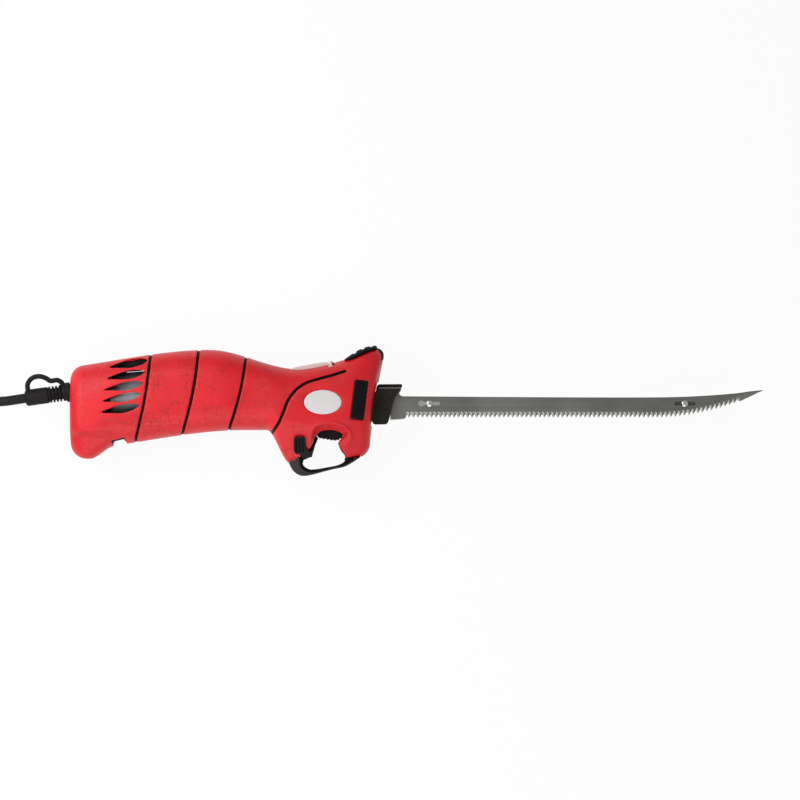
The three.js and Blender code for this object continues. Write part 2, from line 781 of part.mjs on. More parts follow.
// Inside of the housing: ribs, rails and bosses left standing in the cavity
const axisRise = Math.tan(motorTilt * rad);
function axisY(x) {
  return motorY + (x - motorX) * axisRise;
}
function rib(at, thick, y0, y1, bore) {
  const slab = onMotorAxis(box(at - thick / 2, at + thick / 2, y0, y1, -far, far));
  return cut(slab, onMotorAxis(roundBar(at - thick, at + thick, bore / Math.cos(Math.PI / 18), 18)));
}
const ribHigh = 2 * far;
const motorRibs = [-1, 1].map((side) => rib(side * motorRibAt, ribThick, -ribHigh, ribHigh, canRadius + fit));
const middleRib = rib(midBearingAt, bearingWidth, -bearingRadius - 3, ribHigh, bearingRadius + fit);
const endRib = rib(endBearingAt, bearingWidth, -bearingRadius + 1.2, ribHigh, bearingRadius - 1 + fit);
const wheelReach = carrierIn + carrierThick;
const axleBosses = [-1, 1].map((side) => {
  const [from, to] = [side * (wheelReach + fit), side * far];
  return pin(wheelX, wheelY, Math.min(from, to), Math.max(from, to), axleRadius + 2.6, 10);
});
const rails = [-1, 1].map((side) => {
  const [from, to] = [side * (carrierIn + 0.8), side * far];
  const block = box(railX, railX + railLength, armBottom - railMargin, armTop + railMargin, Math.min(from, to),
    Math.max(from, to));
  const way = side * (wheelReach + fit);
  return cut(block, box(railX - 1, railX + railLength + 1, armBottom - fit, armTop + fit, Math.min(0, way),
    Math.max(0, way)));
});
const frontRibX = armEnd + eccentricity + 1;
const frontRib = cut(box(frontRibX, frontRibX + ribThick, -far, far, -far, far), bladeSlot);
const bosses = screwPlaces.map(([x, y]) => pin(x, y, -far, far, bossRadius, 10));
const switchHolder = cut(
  box(switchX - 1.5, switchX + switchLong + 1.5, switchBottom + 1.6, switchBottom + switchTall + 2, -far, far),
  box(switchX - fit, switchX + switchLong + fit, -far, switchBottom + switchTall + fit, -switchHalf - fit,
    switchHalf + fit),
);
const baffle = cut(
  box(ventX - ventLength / 2, ventX + ventLength / 2, motorY, far, -baffleHalf, baffleHalf),
  onMotorAxis(roundBar(-canLength, canLength, (canRadius + fit) / Math.cos(Math.PI / 18), 18)),
);
const room = cut(
  cavity, ...motorRibs, middleRib, endRib, ...axleBosses, ...rails, frontRib, ...bosses, switchHolder, baffle,
);
const axleHole = pin(wheelX, wheelY, -far / 2 + 4, far / 2 - 4, axleRadius + fit, 14);
const shell = cut(
  join(housing, ...beads), room, ...ventWindows, bladeSlot, notchCut(0), triggerGate, tongueGate, lockGate,
  ...releaseRooms, reliefHole, reliefSeat, axleHole, ...screwCutters,
);
add('right_shell', 'black', shell.intersect(rightHalf));
add('left_shell', 'black', shell.intersect(leftHalf));

// Thumb rest
const padLine = [...thumbEdge, [thumbEdge.at(-1)[0] + 1, far], [thumbEdge[0][0], far]];
const rimStart = thumbEdge.at(-2);
const rimFoot = rimEdge.at(-1)[1];
const rimLine = [...thumbEdge.slice(-2), ...rimEdge, [2 * faceX, rimFoot], [2 * faceX, far],
  [rimStart[0], far]];
const thumbRoom = [padLine, rimLine].map((line) => prism(outset(line, fit), -thumbHalf - fit, thumbHalf + fit));
const ridgeCuts = Array.from({ length: thumbRidges }, (_, i) => {
  const x = ridgeX + i * ridgePitch;
  const y = topAt(stationAt(x)) + thumbRise - ridgeDeep;
  return box(x - ridgeWidth / 2, x + ridgeWidth / 2, y, far, -thumbHalf - 1, thumbHalf + 1);
});
add('thumb_rest', 'rubber', cut(
  join(
    bulk(-thumbRise, plainDetail).intersect(prism(padLine, -thumbHalf, thumbHalf)),
    bulk(0, fineDetail).intersect(prism(rimLine, -thumbHalf, thumbHalf)),
  ),
  bulk(skin, plainDetail), ...ridgeCuts,
));

// Badge and plate follow the side of the head
function ellipse(x, y, a, b, count) {
  return Array.from({ length: count }, (_, i) => {
    const turn = (2 * Math.PI * i) / count;
    return [x + a * Math.cos(turn), y + b * Math.sin(turn)];
  });
}
const badgeLine = ellipse(badgeX, badgeY, badgeLong / 2, badgeHigh / 2, 16);
const plateLine = [[-1, -1], [1, -1], [1, 1], [-1, 1]].map(([u, v]) => {
  const [a, b] = [(u * plateLong) / 2, (v * plateHigh) / 2];
  const [c, s] = [Math.cos(plateLean * rad), Math.sin(plateLean * rad)];
  return [plateX + a * c - b * s, plateY + a * s + b * c];
});
const trimOuter = bulk(-trimProud, plainDetail);
const trimInner = bulk(trimThick - trimProud, plainDetail);
const trimFloor = bulk(trimThick - trimProud + fit, plainDetail);
const trimShell = cut(trimOuter, trimInner);
add('badge', 'pale', trimShell.intersect(prism(badgeLine, 5, far)));
add('front_plate', 'black', trimShell.intersect(prism(plateLine, 5, far)));
const trimRooms = [badgeLine, plateLine].map((line) => cut(prism(outset(line, fit), 5, far), trimFloor));

// Red grip fields
const field = cut(
  outside, underSkin, ...grooves, ...vents, bladeSlot, notchCut(notchRim), triggerGate, lockGate,
  ...releaseRooms, reliefHole, reliefSeat, ...thumbRoom, ...trimRooms, ...screwCutters, tongueGate,
);
const fieldNames = ['rear_grip', 'rear_band', 'front_band', 'head_grip'];
fieldNames.forEach((name, k) => {
  const back = grooveHeights.map((y) => [k === 0 ? -faceX : grooveX(k - 1, y), y]);
  const front = grooveHeights.map((y) => [k === grooveCount ? 2 * faceX : grooveX(k, y), y]);
  const zone = field.intersect(prism([...front, ...back.reverse()], -far, far));
  add(`right_${name}`, 'red', zone.intersect(rightHalf));
  add(`left_${name}`, 'red', zone.intersect(leftHalf));
});

// Trigger guard, with the liner that runs up the back of the finger opening
const guardRing = prism(fromHole([...guardOutline, [26, 2], [0, 2], [-26, 2]]), -guardHalf, guardHalf);
const guardKeep = belowSeam(-fit).intersect(guardRing);
const liner = prism(fromHole(linerOutline), -guardHalf, guardHalf);
add('trigger_guard', 'black', join(
  cut(guardKeep, prism(hole, -far, far)), liner.intersect(prism(outset(hole, -fit), -far, far)),
  liner.intersect(belowSeam(-fit)),
));

// Motor
const bore = shaftRadius + fit;
const canEnd = canLength / 2;
const canInner = canRadius - canWall;
add('motor_can', 'steel', onMotorAxis(turned([
  [-canEnd, canInner], [canEnd - canWall, canInner], [canEnd - canWall, bushRadius + fit],
  [canEnd, bushRadius + fit], [canEnd, canRadius], [-canEnd, canRadius],
], 28)));
const magnetOuter = canInner - fit;
const magnetInner = magnetOuter - magnetThick;
['upper', 'lower'].forEach((name, k) => {
  const steps = 8;
  const arc = (radius) => Array.from({ length: steps + 1 }, (_, i) => {
    const turn = (90 + 180 * k + magnetSpread * (i / steps - 0.5)) * rad;
    return [radius * Math.cos(turn), radius * Math.sin(turn)];
  });
  const half = magnetLength / 2;
  const piece = prism([...arc(magnetOuter), ...arc(magnetInner).reverse()], -half, half).rotate([0, 90, 0]);
  add(`magnet_${name}`, 'magnet', onMotorAxis(piece.rotate([90, 0, 0])));
});
const coreRadius = magnetInner - airGap;
const windingRadius = coreRadius - windingIn;
const core = cut(
  ringAt(-coreLength / 2, coreLength / 2, bore, coreRadius, 30),
  ...Array.from({ length: coreSlots }, (_, i) => box(-coreLength, coreLength, coreRadius - slotDepth, canRadius,
    -slotWidth / 2, slotWidth / 2).rotate([(360 * i) / coreSlots, 0, 0])),
);
add('armature_core', 'iron', onMotorAxis(core));
[-1, 1].forEach((side) => {
  const from = side * (coreLength / 2 + fit);
  const to = side * (coreLength / 2 + fit + windingLength);
  const piece = turned([
    [from, bore], [to, bore], [to, windingRadius - 2.4], [(from + 2 * to) / 3, windingRadius],
    [from, windingRadius],
  ], 18);
  add(side < 0 ? 'winding_rear' : 'winding_front', 'copper', onMotorAxis(piece));
});
const commutatorFront = -(coreLength / 2 + 2 * fit + windingLength);
const commutatorMiddle = commutatorFront - commutatorLength / 2;
const commutator = cut(
  ringAt(commutatorFront - commutatorLength, commutatorFront, bore, commutatorRadius, 20),
  ...Array.from({ length: coreSlots }, (_, i) => box(commutatorMiddle - 9, commutatorFront - 1.2,
    commutatorRadius - 0.7, commutatorRadius + 1, -0.2, 0.2).rotate([(360 * (i + 0.5)) / coreSlots, 0, 0])),
);
add('commutator', 'copper', onMotorAxis(commutator));
const brushFoot = commutatorRadius + fit;
const brushEnd = canInner - brushIn;
const capBack = -canEnd - fit - capThick;
const brushHouse = (side) => {
  const [y0, y1] = [side * (brushFoot + 0.8), side * (brushEnd + 1.2)];
  return cut(
    box(-canEnd - fit - 1, commutatorMiddle + brushLong / 2 + 0.9, Math.min(y0, y1), Math.max(y0, y1),
      -brushWide / 2 - 1.2, brushWide / 2 + 1.2),
    box(commutatorMiddle - brushLong / 2 - fit, commutatorMiddle + brushLong / 2 + fit,
      Math.min(side * brushFoot, side * (brushEnd + fit)), Math.max(side * brushFoot, side * (brushEnd + fit)),
      -brushWide / 2 - fit, brushWide / 2 + fit),
  );
};
add('motor_end_cap', 'black', onMotorAxis(join(
  ringAt(capBack, -canEnd - fit, bushRadius + fit, canRadius - 0.4, 24), brushHouse(1), brushHouse(-1),
)));
['upper', 'lower'].forEach((name, k) => {
  const side = k === 0 ? 1 : -1;
  const piece = box(commutatorMiddle - brushLong / 2, commutatorMiddle + brushLong / 2,
    Math.min(side * brushFoot, side * brushEnd), Math.max(side * brushFoot, side * brushEnd), -brushWide / 2,
    brushWide / 2);
  add(`brush_${name}`, 'carbon', onMotorAxis(piece));
});
add('rear_bush', 'brass', onMotorAxis(ringAt(capBack, -canEnd - fit, bore, bushRadius, 16)));
add('front_bush', 'brass', onMotorAxis(ringAt(canEnd - canWall - 1.4, canEnd + 1.6, bore, bushRadius, 16)));
const shaftEnd = endBearingAt + bearingWidth / 2;
add('motor_shaft', 'steel', onMotorAxis(roundBar(capBack - 1.5, shaftEnd, shaftRadius, 14)));
const fanVane = (i) => box(fanAt - fanWidth / 2, fanAt + fanWidth / 2, 3.4, fanRadius, -0.6, 0.6)
  .rotate([(360 * i) / fanBlades, 0, 0]);
add('cooling_fan', 'nylon', onMotorAxis(join(
  ringAt(fanAt - fanWidth / 2, fanAt + fanWidth / 2, bore, 4.6, 14),
  ringAt(fanAt - fanWidth / 2, fanAt - fanWidth / 2 + 1.2, 4, fanRadius, 14),
  ...Array.from({ length: fanBlades }, (_, i) => fanVane(i)),
)));
const bearingBand = bearingWidth / 2;
add('middle_bearing', 'steel', onMotorAxis(
  ringAt(midBearingAt - bearingBand, midBearingAt + bearingBand, bore, bearingRadius, 18),
));
add('end_bearing', 'steel', onMotorAxis(
  ringAt(endBearingAt - bearingBand, endBearingAt + bearingBand, bore, bearingRadius - 1, 18),
));

// Worm and wheel
const wheelPitchRadius = (toothModule * wheelTeeth) / 2;
const wormPitchRadius = (axisY(wheelX) - wheelY) * Math.cos(motorTilt * rad) - wheelPitchRadius;
const wormPitch = Math.PI * toothModule;
const wormRoot = wormPitchRadius - 1.15 * toothModule;
const wormTip = wormPitchRadius + toothModule;
const wormAt = (wheelX - motorX) * Math.cos(motorTilt * rad) + (wheelY - motorY) * Math.sin(motorTilt * rad);
const threadSteps = 8;
const threadTurns = wormLength / wormPitch - 1;
const rootHalf = (wormPitch * toothShare) / 2 + 0.36 * toothModule;
const tipHalf = Math.max((wormPitch * toothShare) / 2 - 0.36 * toothModule, 0.1);
const threadRings = Array.from({ length: Math.round(threadTurns * threadSteps) + 1 }, (_, i) => {
  const turns = i / threadSteps - threadTurns / 2;
  const turn = turns * 2 * Math.PI - Math.PI / 2;
  const middle = wormAt + turns * wormPitch;
  const inner = wormRoot - 0.4;
  return [[-rootHalf, inner], [-tipHalf, wormTip], [tipHalf, wormTip], [rootHalf, inner]].map(([u, r]) => [
    middle + u, r * Math.cos(turn - Math.PI / 2), r * Math.sin(turn - Math.PI / 2),
  ]);
});
const wormBody = ringAt(wormAt - wormLength / 2, wormAt + wormLength / 2, bore, wormRoot, 10);
add('worm', 'steel', onMotorAxis(join(wormBody, cut(skinOver(threadRings), roundBar(0, 200, bore + 0.2, 10)))));

const wormTiltTurn = Math.PI / 2 + motorTilt * rad; // the worm touches the wheel at this angle
const leadTwist = Math.atan(wormPitch / (2 * Math.PI * wormPitchRadius));
const toothStep = (2 * Math.PI) / wheelTeeth;
const wheelOutline = Array.from({ length: wheelTeeth }, (_, i) => {
  const middle = wormTiltTurn + (i + 0.5) * toothStep;
  const root = wheelPitchRadius - 1.15 * toothModule;
  const tip = wheelPitchRadius + toothModule * 0.9;
  const rootTurn = toothStep * (toothShare / 2 + 0.14);
  const tipTurn = toothStep * (toothShare / 2 - 0.1);
  return [[-rootTurn, root], [-tipTurn, tip], [tipTurn, tip], [rootTurn, root]].map(([turn, r]) => [
    r * Math.cos(middle + turn), r * Math.sin(middle + turn),
  ]);
}).flat();
const wheelTwist = (wheelThick * Math.tan(leadTwist)) / wheelPitchRadius;
const wheelRings = [-1, 1].map((side) => wheelOutline.map(([x, y]) => {
  const turn = (side * wheelTwist) / 2;
  return [x * Math.cos(turn) - y * Math.sin(turn), x * Math.sin(turn) + y * Math.cos(turn),
    (side * wheelThick) / 2];
}));
const eccentric = (side) => {
  const [from, to] = [side * (wheelThick / 2 - 0.5), side * wheelReach];
  return pin(0, side * eccentricity, Math.min(from, to), Math.max(from, to), eccentricRadius, 18);
};
add('worm_wheel', 'nylon', cut(
  join(skinOver(wheelRings), eccentric(1), eccentric(-1)), pin(0, 0, -20, 20, axleRadius + fit, 14),
).translate([wheelX, wheelY, 0]));
add('wheel_axle', 'steel', pin(wheelX, wheelY, -far / 2 + 4 + fit, far / 2 - 4 - fit, axleRadius, 14));

// Blade carriers, driven by the eccentrics
const windowHalf = eccentricRadius + eccentricPlay;
const windowTop = wheelY + eccentricity + eccentricRadius + eccentricPlay;
const yokeBack = wheelX - windowHalf - yokeBar;
const yokeFront = wheelX + windowHalf + yokeBar;
const yokeBottom = wheelY - eccentricity - eccentricRadius - 0.6;
const armMiddle = (armBottom + armTop) / 2;
['right', 'left'].forEach((name, k) => {
  const side = k === 0 ? 1 : -1;
  const [z0, z1] = [carrierIn, wheelReach].map((z) => side * z).sort((a, b) => a - b);
  const yoke = cut(
    box(yokeBack, yokeFront, yokeBottom, windowTop + 1.8, z0, z1),
    box(wheelX - windowHalf, wheelX + windowHalf, yokeBottom - 1, windowTop, -far, far),
  );
  const arm = cut(
    box(yokeFront - 1, armEnd, armBottom, armTop, z0, z1),
    box(lugX - fit, armEnd + 1, armMiddle - lugHigh / 2 - fit, armMiddle + lugHigh / 2 + fit,
      -far, far),
  );
  add(`${name}_carrier`, 'black', join(yoke, arm));
});

// Blades: straight serrated edge, sweeping up to the tip
function edgeAt(x) {
  const share = Math.max((x - bellyX) / (edgeEndX - bellyX), 0);
  return toothLineY + (edgeEndY - toothLineY) * share ** 2;
}
const toothCount = Math.floor((edgeEndX - toothX) / toothPitch);
const teeth = Array.from({ length: toothCount }, (_, i) => {
  const x = toothX + (i + 0.5) * toothPitch;
  const fade = 1 - smooth((i - toothCount + 8) / 8);
  const depth = toothHeight * (0.25 + 0.75 * fade);
  return [[x, edgeAt(x)], [x + toothPitch / 2, edgeAt(x) + depth]];
}).flat();
const spineLine = [[-8.8, 9.1], [-14.8, 8.2], [-27.6, 7], [-39.6, 6.2], [-53.6, 5.6], [-79.6, 5.3]]
  .map(([x, y]) => [tipX + x, y]);
const bladeLine = [
  [tangX, -tangHalf], [heelX, -tangHalf], [heelX, heelY], [toothX - 1.5, heelY],
  [toothX, toothLineY + toothHeight],
  ...teeth, [edgeEndX + 2, edgeEndY + 1], [(edgeEndX + tipX) / 2, (edgeEndY + tipY) / 2 - 0.9], [tipX, tipY],
  ...spineLine, [baseTopX, spineY + 0.3], [heelX, spineY + 0.5], [heelX, tangHalf], [tangX, tangHalf],
];
const bladeIn = bladeGap / 2;
const bladeOut = bladeIn + bladeThick;
function runSlot(from, to, keyRadius) {
  const half = rivetRadius + fit;
  const slot = box(from, to, rivetY - half, rivetY + half, -1, 10);
  const ends = [from, to].map((x) => pin(x, rivetY, -1, 10, half, 12));
  return keyRadius ? join(slot, ...ends, pin(from, rivetY, -1, 10, keyRadius, 16)) : join(slot, ...ends);
}
const runHalf = 2 * eccentricity + fit;
add('right_blade', 'blade', cut(
  prism(bladeLine, bladeIn, bladeOut),
  runSlot(heelRivetX - runHalf, heelRivetX + runHalf, rivetRadius + 2 * fit),
  runSlot(tipRivetX - runHalf, tipRivetX + runHalf, 0),
));
add('left_blade', 'blade', cut(
  prism(bladeLine, -bladeOut, -bladeIn),
  pin(heelRivetX, rivetY, -10, 10, rivetRadius + fit, 12),
  pin(tipRivetX, rivetY, -10, 10, rivetRadius + fit, 12),
));
[['heel', heelRivetX], ['tip', tipRivetX]].forEach(([name, x]) => {
  const face = bladeOut + fit;
  add(`${name}_rivet`, 'steel', join(
    pin(x, rivetY, -face - 0.1, face + 0.1, rivetRadius, 12),
    pin(x, rivetY, face, face + rivetHeadThick, rivetHead, 14),
    pin(x, rivetY, -face - rivetHeadThick, -face, rivetHead, 14),
  ));
});

// Blade bases, each with a tongue that its carrier's lug holds
['right', 'left'].forEach((name, k) => {
  const side = k === 0 ? 1 : -1;
  const top = k === 0 ? baseTop : rearBaseTop;
  const span = (a, b) => [side * a, side * b].sort((p, q) => p - q);
  const inner = bladeOut + fit;
  const line = [[baseX, top], [baseTopX, top], [baseTopX - 2.5, top - 4], [baseTopX - 4.9, 2.5],
    [baseTopX - 6.8, -3.7], [baseTopX - 7.4, -8.1], [baseBottomX, baseBottom], [baseX - 0.6, baseBottom]];
  const [z0, z1] = span(inner, baseOut);
  const ribCuts = Array.from({ length: baseRibs }, (_, i) => {
    const y = top - 3 - i * ((top - baseBottom - 5) / (baseRibs - 1));
    const [r0, r1] = span(baseOut - 0.7, baseOut + 1);
    return box(baseX + 1.4, baseTopX, y - 0.45, y + 0.45, r0, r1);
  });
  const [t0, t1] = span(inner, carrierIn - fit);
  const [l0, l1] = span(inner, baseOut);
  const middle = (armBottom + armTop) / 2;
  add(`${name}_blade_base`, 'rubber', join(
    cut(prism(line, z0, z1), ...ribCuts),
    box(tangX, baseX + 1, -tangHalf, tangHalf, t0, t1),
    box(lugX, lugX + lugLong, middle - lugHigh / 2, middle + lugHigh / 2, l0, l1),
    box(armEnd + 3, baseX + 1, slotBottom + 3 * fit, top, z0, z1),
  ));
});

// Release button and its springs
const legEnd = releaseLegEnd;
add('release_button', 'pale', join(
  releasePad, ...releaseWing, ...legSides.map((side) => releaseLeg(side, 0, legEnd)),
));

// Trigger with its tongue and the switch plunger
const triggerPad = cut(
  box(triggerX, triggerX + triggerLong, triggerBottom, triggerTop, -triggerHalf, triggerHalf),
  ...Array.from({ length: triggerRibs }, (_, i) => {
    const x = triggerX + (triggerLong * (i + 0.5)) / triggerRibs;
    return box(x - 0.5, x + 0.5, triggerBottom - 1, triggerBottom + 0.8, -triggerHalf - 1, triggerHalf + 1);
  }),
);
add('trigger', 'rubber', join(
  triggerPad,
  box(tongueX, triggerX + 1, tongueTop - tongueThick, tongueTop, -tongueHalf, tongueHalf),
));
const plungerRod = (y0, y1, radius) => solid(
  new THREE.CylinderGeometry(radius, radius, y1 - y0, 12).translate(plungerX, (y0 + y1) / 2, 0),
);
const plungerEnd = switchBottom + 1.6; // inside the switch at rest
add('switch_plunger', 'nylon', plungerRod(tongueTop + fit, plungerEnd, plungerRadius));
add('switch_body', 'black', cut(
  box(switchX, switchX + switchLong, switchBottom, switchBottom + switchTall, -switchHalf, switchHalf),
  plungerRod(switchBottom - 1, plungerEnd + triggerTravel + fit, plungerRadius + fit),
));

// A coil spring stands over the trigger
function spring([x, y0, y1], radius, turns, wire) {
  const count = Math.round(turns * 6);
  const points = Array.from({ length: count + 1 }, (_, i) => {
    const turn = (2 * Math.PI * turns * i) / count;
    const y = y0 + wire + ((y1 - y0 - 2 * wire) * i) / count;
    return [x + radius * Math.cos(turn), y, radius * Math.sin(turn)];
  });
  return tube(points, wire, 4);
}
const springFoot = triggerTop + fit;
add('trigger_spring', 'steel', spring(
  [triggerSpringX, springFoot, springFoot + triggerSpringLength], triggerSpringRadius, springTurns, springWire,
));

// A bowed leaf lifts the release button: its ends rest on the housing, its middle under the button
const leafBow = releaseDeep - releaseSink - releaseSpringThick - fit;
const leafEdge = (up) => Array.from({ length: 9 }, (_, i) => {
  const u = i / 4 - 1;
  const x = releaseSpringX + (u * releaseSpringLong) / 2;
  const rise = leafBow * (1 - u ** 2) + (up ? releaseSpringThick : 0);
  return [x + leanAt(x, topAt(x)), topAt(x) - releaseDeep + rise];
});
add('release_spring', 'steel', prism(
  [...leafEdge(true), ...leafEdge(false).reverse()], -releaseSpringHalf, releaseSpringHalf,
));

// Safety lock: a pad on each side of the post and the bar between them
const lockPadLine = [[-1, -1], [1, -1], [1, 1], [-1, 1]].map(([u, v]) => [lockX + (u * lockLong) / 2,
  lockY + (v * lockHigh) / 2]);
const lockFoot = lockY - lockHigh / 2;
const lockNub = [[lockX - 0.6, lockFoot], [lockX + 2.4, lockFoot - 3.4], [lockX + 7.8, lockFoot - 1.8],
  [lockX + 7.4, lockFoot + 0.6], [lockX + lockLong / 2, lockFoot + 3.6]];
const lockOuter = bulk(-lockProud, fineDetail);
const lockInner = bulk(-0.4, fineDetail);
const lockShape = join(prism(lockPadLine, -far, far), prism(lockNub, 8, far));
const lockPads = cut(lockOuter.intersect(lockShape), lockInner);
const barHalf = lockBar / 2;
const bar = box(lockX - barHalf, lockX + barHalf, lockY - barHalf, lockY + barHalf, -far, far);
add('safety_lock', 'black', join(lockPads, bar.intersect(lockOuter)));

// Housing screws
const screwTop = -screwSeat - fit - screwHeadTall; // outer face of the heads
screwPlaces.forEach(([x, y], i) => {
  add(`screw_${i + 1}`, 'steel', cut(
    join(
      pin(x, y, screwTop, -screwSeat - fit, screwHead, 12),
      pin(x, y, -screwSeat - fit - 0.1, screwReach, screwRadius, 8),
    ),
    box(x - 2, x + 2, y - 0.4, y + 0.4, screwTop - 1, screwTop + 1.2),
    box(x - 0.4, x + 0.4, y - 2, y + 2, screwTop - 1, screwTop + 1.2),
  ));
});

// Strain relief with its hanging loop
const cordBore = cordRadius + fit;
const ribStart = -reliefLength + sleeveLength;
const reliefProfile = [[-reliefLength, cordBore], [cavityIn + 3.4, cordBore], [cavityIn + 3.4, flangeRadius],
  [cavityIn + 1.2, flangeRadius], [cavityIn + 1.2, sleeveRadius], [-fit, sleeveRadius], [-fit, flangeRadius],
  [-fit - flangeThick, flangeRadius], [-fit - flangeThick - 0.6, sleeveRadius],
  [ribStart + reliefRibs * reliefRibPitch, sleeveRadius]];
for (let i = reliefRibs - 1; i >= 0; i -= 1) {
  const at = ribStart + i * reliefRibPitch;
  reliefProfile.push([at + reliefRibPitch, reliefNeck + 0.2], [at + reliefRibPitch * 0.55, reliefNeck + 0.2],
    [at + reliefRibPitch * 0.5, sleeveRadius], [at, sleeveRadius]);
}
reliefProfile.push([ribStart, reliefNeck + 0.2], [ribStart - 0.8, sleeveRadius], [-reliefLength, sleeveRadius]);
const loop = tube(curve(loopLine, 14, false), loopRadius, 6);
const cordRoom = onCordAxis(roundBar(-reliefLength - 20, cavityIn + 10, cordBore, 16));
add('strain_relief', 'rubber', join(onCordAxis(turned(reliefProfile, 10)), cut(loop, cordRoom)));

// Cord: out along the relief's axis, down to the floor, then into the coil
const floor = -halfWidth;
const coilLow = floor + tieThick + fit + cordRadius;
const coilHigh = coilLow + coilPitch;
const coilOuter = coilInner + (coilPitch * coilTurns) / 2;
const axisPoint = (u) => [u * Math.cos(cordDrop * rad), cordAxisY + u * Math.sin(cordDrop * rad), 0];
const entry = [coilX, coilY + coilOuter, coilLow];
const leadPlaces = [axisPoint(cavityIn + 3), axisPoint(-12), axisPoint(-reliefLength),
  axisPoint(-reliefLength - 14), ...leadLine.map(([x, y, rise]) => [x, y, coilLow + rise]),
  [coilX + 6 * cordRadius, entry[1], coilLow], [coilX + 4 * cordRadius, entry[1], coilLow],
  [coilX + 2 * cordRadius + fit, entry[1], coilLow]];
add('cord_lead', 'rubber', tube(curve(leadPlaces, 22, false), cordRadius, cordSides));
const coilCount = coilTurns * coilSteps;
const straight = 2 * cordRadius;
const coilPoints = Array.from({ length: coilCount + 1 }, (_, i) => {
  const turns = i / coilSteps - coilTurns / 2;
  const turn = Math.PI / 2 + (2 * Math.PI * i) / coilSteps;
  const radius = coilInner + coilPitch * Math.abs(turns);
  const z = coilLow + coilPitch * smooth(2 * turns + 0.5);
  return [coilX + radius * Math.cos(turn), coilY + radius * Math.sin(turn), z];
});
coilPoints.unshift([coilX + straight, entry[1], coilLow]);
const plugX = coilX - plugTail;
const last = coilPoints[coilPoints.length - 1];
coilPoints.push([coilX - straight, last[1], coilHigh], [plugX + straight, last[1], coilHigh],
  [plugX + fit, last[1], coilHigh]);
add('cord_coil', 'rubber', tube(coilPoints, cordRadius, coilSides));

// Tie round the coil, and the plug
const tieGap = cordRadius + fit;
const tieBox = (grow) => box(coilInner - tieGap - grow, coilOuter + tieGap + grow, -tieWide / 2, tieWide / 2,
  coilLow - tieGap - grow, coilHigh + tieGap + grow);
const tieBore = box(coilInner - tieGap, coilOuter + tieGap, -tieWide, tieWide, coilLow - tieGap,
  coilHigh + tieGap);
add('cord_tie', 'rubber', cut(tieBox(tieThick), tieBore).rotate([0, 0, tieAngle]).translate([coilX, coilY, 0]));
const plugHalfHigh = coilHigh - floor - fit;
const plugY = last[1];
const plugSection = (x, wide, high) => Array.from({ length: 12 }, (_, i) => {
  const turn = (2 * Math.PI * (i + 0.5)) / 12;
  const [c, s] = [Math.cos(turn), Math.sin(turn)];
  const [a, b] = [Math.sign(c) * Math.abs(c) ** 0.55, Math.sign(s) * Math.abs(s) ** 0.55];
  return [x, plugY + wide * a, coilHigh + high * b];
});
const plugFront = plugX - plugLength;
add('plug_body', 'rubber', skinOver([
  plugSection(plugX, plugBack / 2, plugBack / 2),
  plugSection(plugX - plugLength * 0.22, plugBack / 2 + 0.6, plugBack / 2 + 0.6),
  plugSection(plugX - plugLength * 0.44, plugWide / 2 - 2, plugHalfHigh - 1.6),
  plugSection(plugX - plugLength * 0.58, plugWide / 2, plugHalfHigh),
  plugSection(plugFront, plugWide / 2 - 0.6, plugHalfHigh - 0.5),
]));
['a', 'b'].forEach((name, k) => {
  const y = plugY + (k === 0 ? 1 : -1) * (pinApart / 2);
  add(`plug_pin_${name}`, 'brass', box(plugFront - pinLong, plugFront - fit, y - pinThick / 2, y + pinThick / 2,
    coilHigh - pinHigh / 2, coilHigh + pinHigh / 2));
});

// The part stands with the middle of its own box over the origin; the cord is left out of that box
const cordNames = ['cord_lead', 'cord_coil', 'cord_tie', 'plug_body', 'plug_pin_a', 'plug_pin_b'];
const own = pieces.filter(({ name }) => !cordNames.includes(name)).map(({ piece }) => piece.boundingBox());
const low = [0, 1, 2].map((axis) => Math.min(...own.map((b) => b.min[axis])));
const high = [0, 1, 2].map((axis) => Math.max(...own.map((b) => b.max[axis])));
const origin = [(low[0] + high[0]) / 2, (low[1] + high[1]) / 2, low[2]];
pieces.forEach(({ name, look, piece }) => {
  const mesh = piece.getMesh();
  const geometry = new THREE.BufferGeometry();
  geometry.setAttribute('position', new THREE.BufferAttribute(new Float32Array(mesh.vertProperties), 3));
  geometry.setIndex(new THREE.BufferAttribute(new Uint32Array(mesh.triVerts), 1));
  geometry.translate(-origin[0], -origin[1], -origin[2]);
  geometry.computeVertexNormals();
  const [color, roughness, metalness] = looks[look];
  const node = new THREE.Mesh(geometry, new THREE.MeshStandardMaterial({ color, roughness, metalness }));
  node.name = name;
  group.add(node);
});

export default group;
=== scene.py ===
import bpy
import bmesh
import math
import numpy as np
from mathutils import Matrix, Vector


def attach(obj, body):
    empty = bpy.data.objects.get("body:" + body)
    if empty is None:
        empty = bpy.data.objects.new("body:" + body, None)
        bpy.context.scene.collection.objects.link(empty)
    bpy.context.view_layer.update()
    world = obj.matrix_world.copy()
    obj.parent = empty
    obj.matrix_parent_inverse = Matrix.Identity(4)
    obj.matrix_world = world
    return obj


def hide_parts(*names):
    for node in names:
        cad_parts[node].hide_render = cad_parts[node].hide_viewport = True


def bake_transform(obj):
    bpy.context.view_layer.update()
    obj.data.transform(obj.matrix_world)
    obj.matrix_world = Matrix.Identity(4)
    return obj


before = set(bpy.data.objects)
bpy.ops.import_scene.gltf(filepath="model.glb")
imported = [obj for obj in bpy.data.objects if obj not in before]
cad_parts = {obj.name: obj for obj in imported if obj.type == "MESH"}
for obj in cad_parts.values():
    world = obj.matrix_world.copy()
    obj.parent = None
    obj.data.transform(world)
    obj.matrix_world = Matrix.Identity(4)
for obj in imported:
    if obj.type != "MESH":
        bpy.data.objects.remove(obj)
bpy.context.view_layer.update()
scene = bpy.context.scene
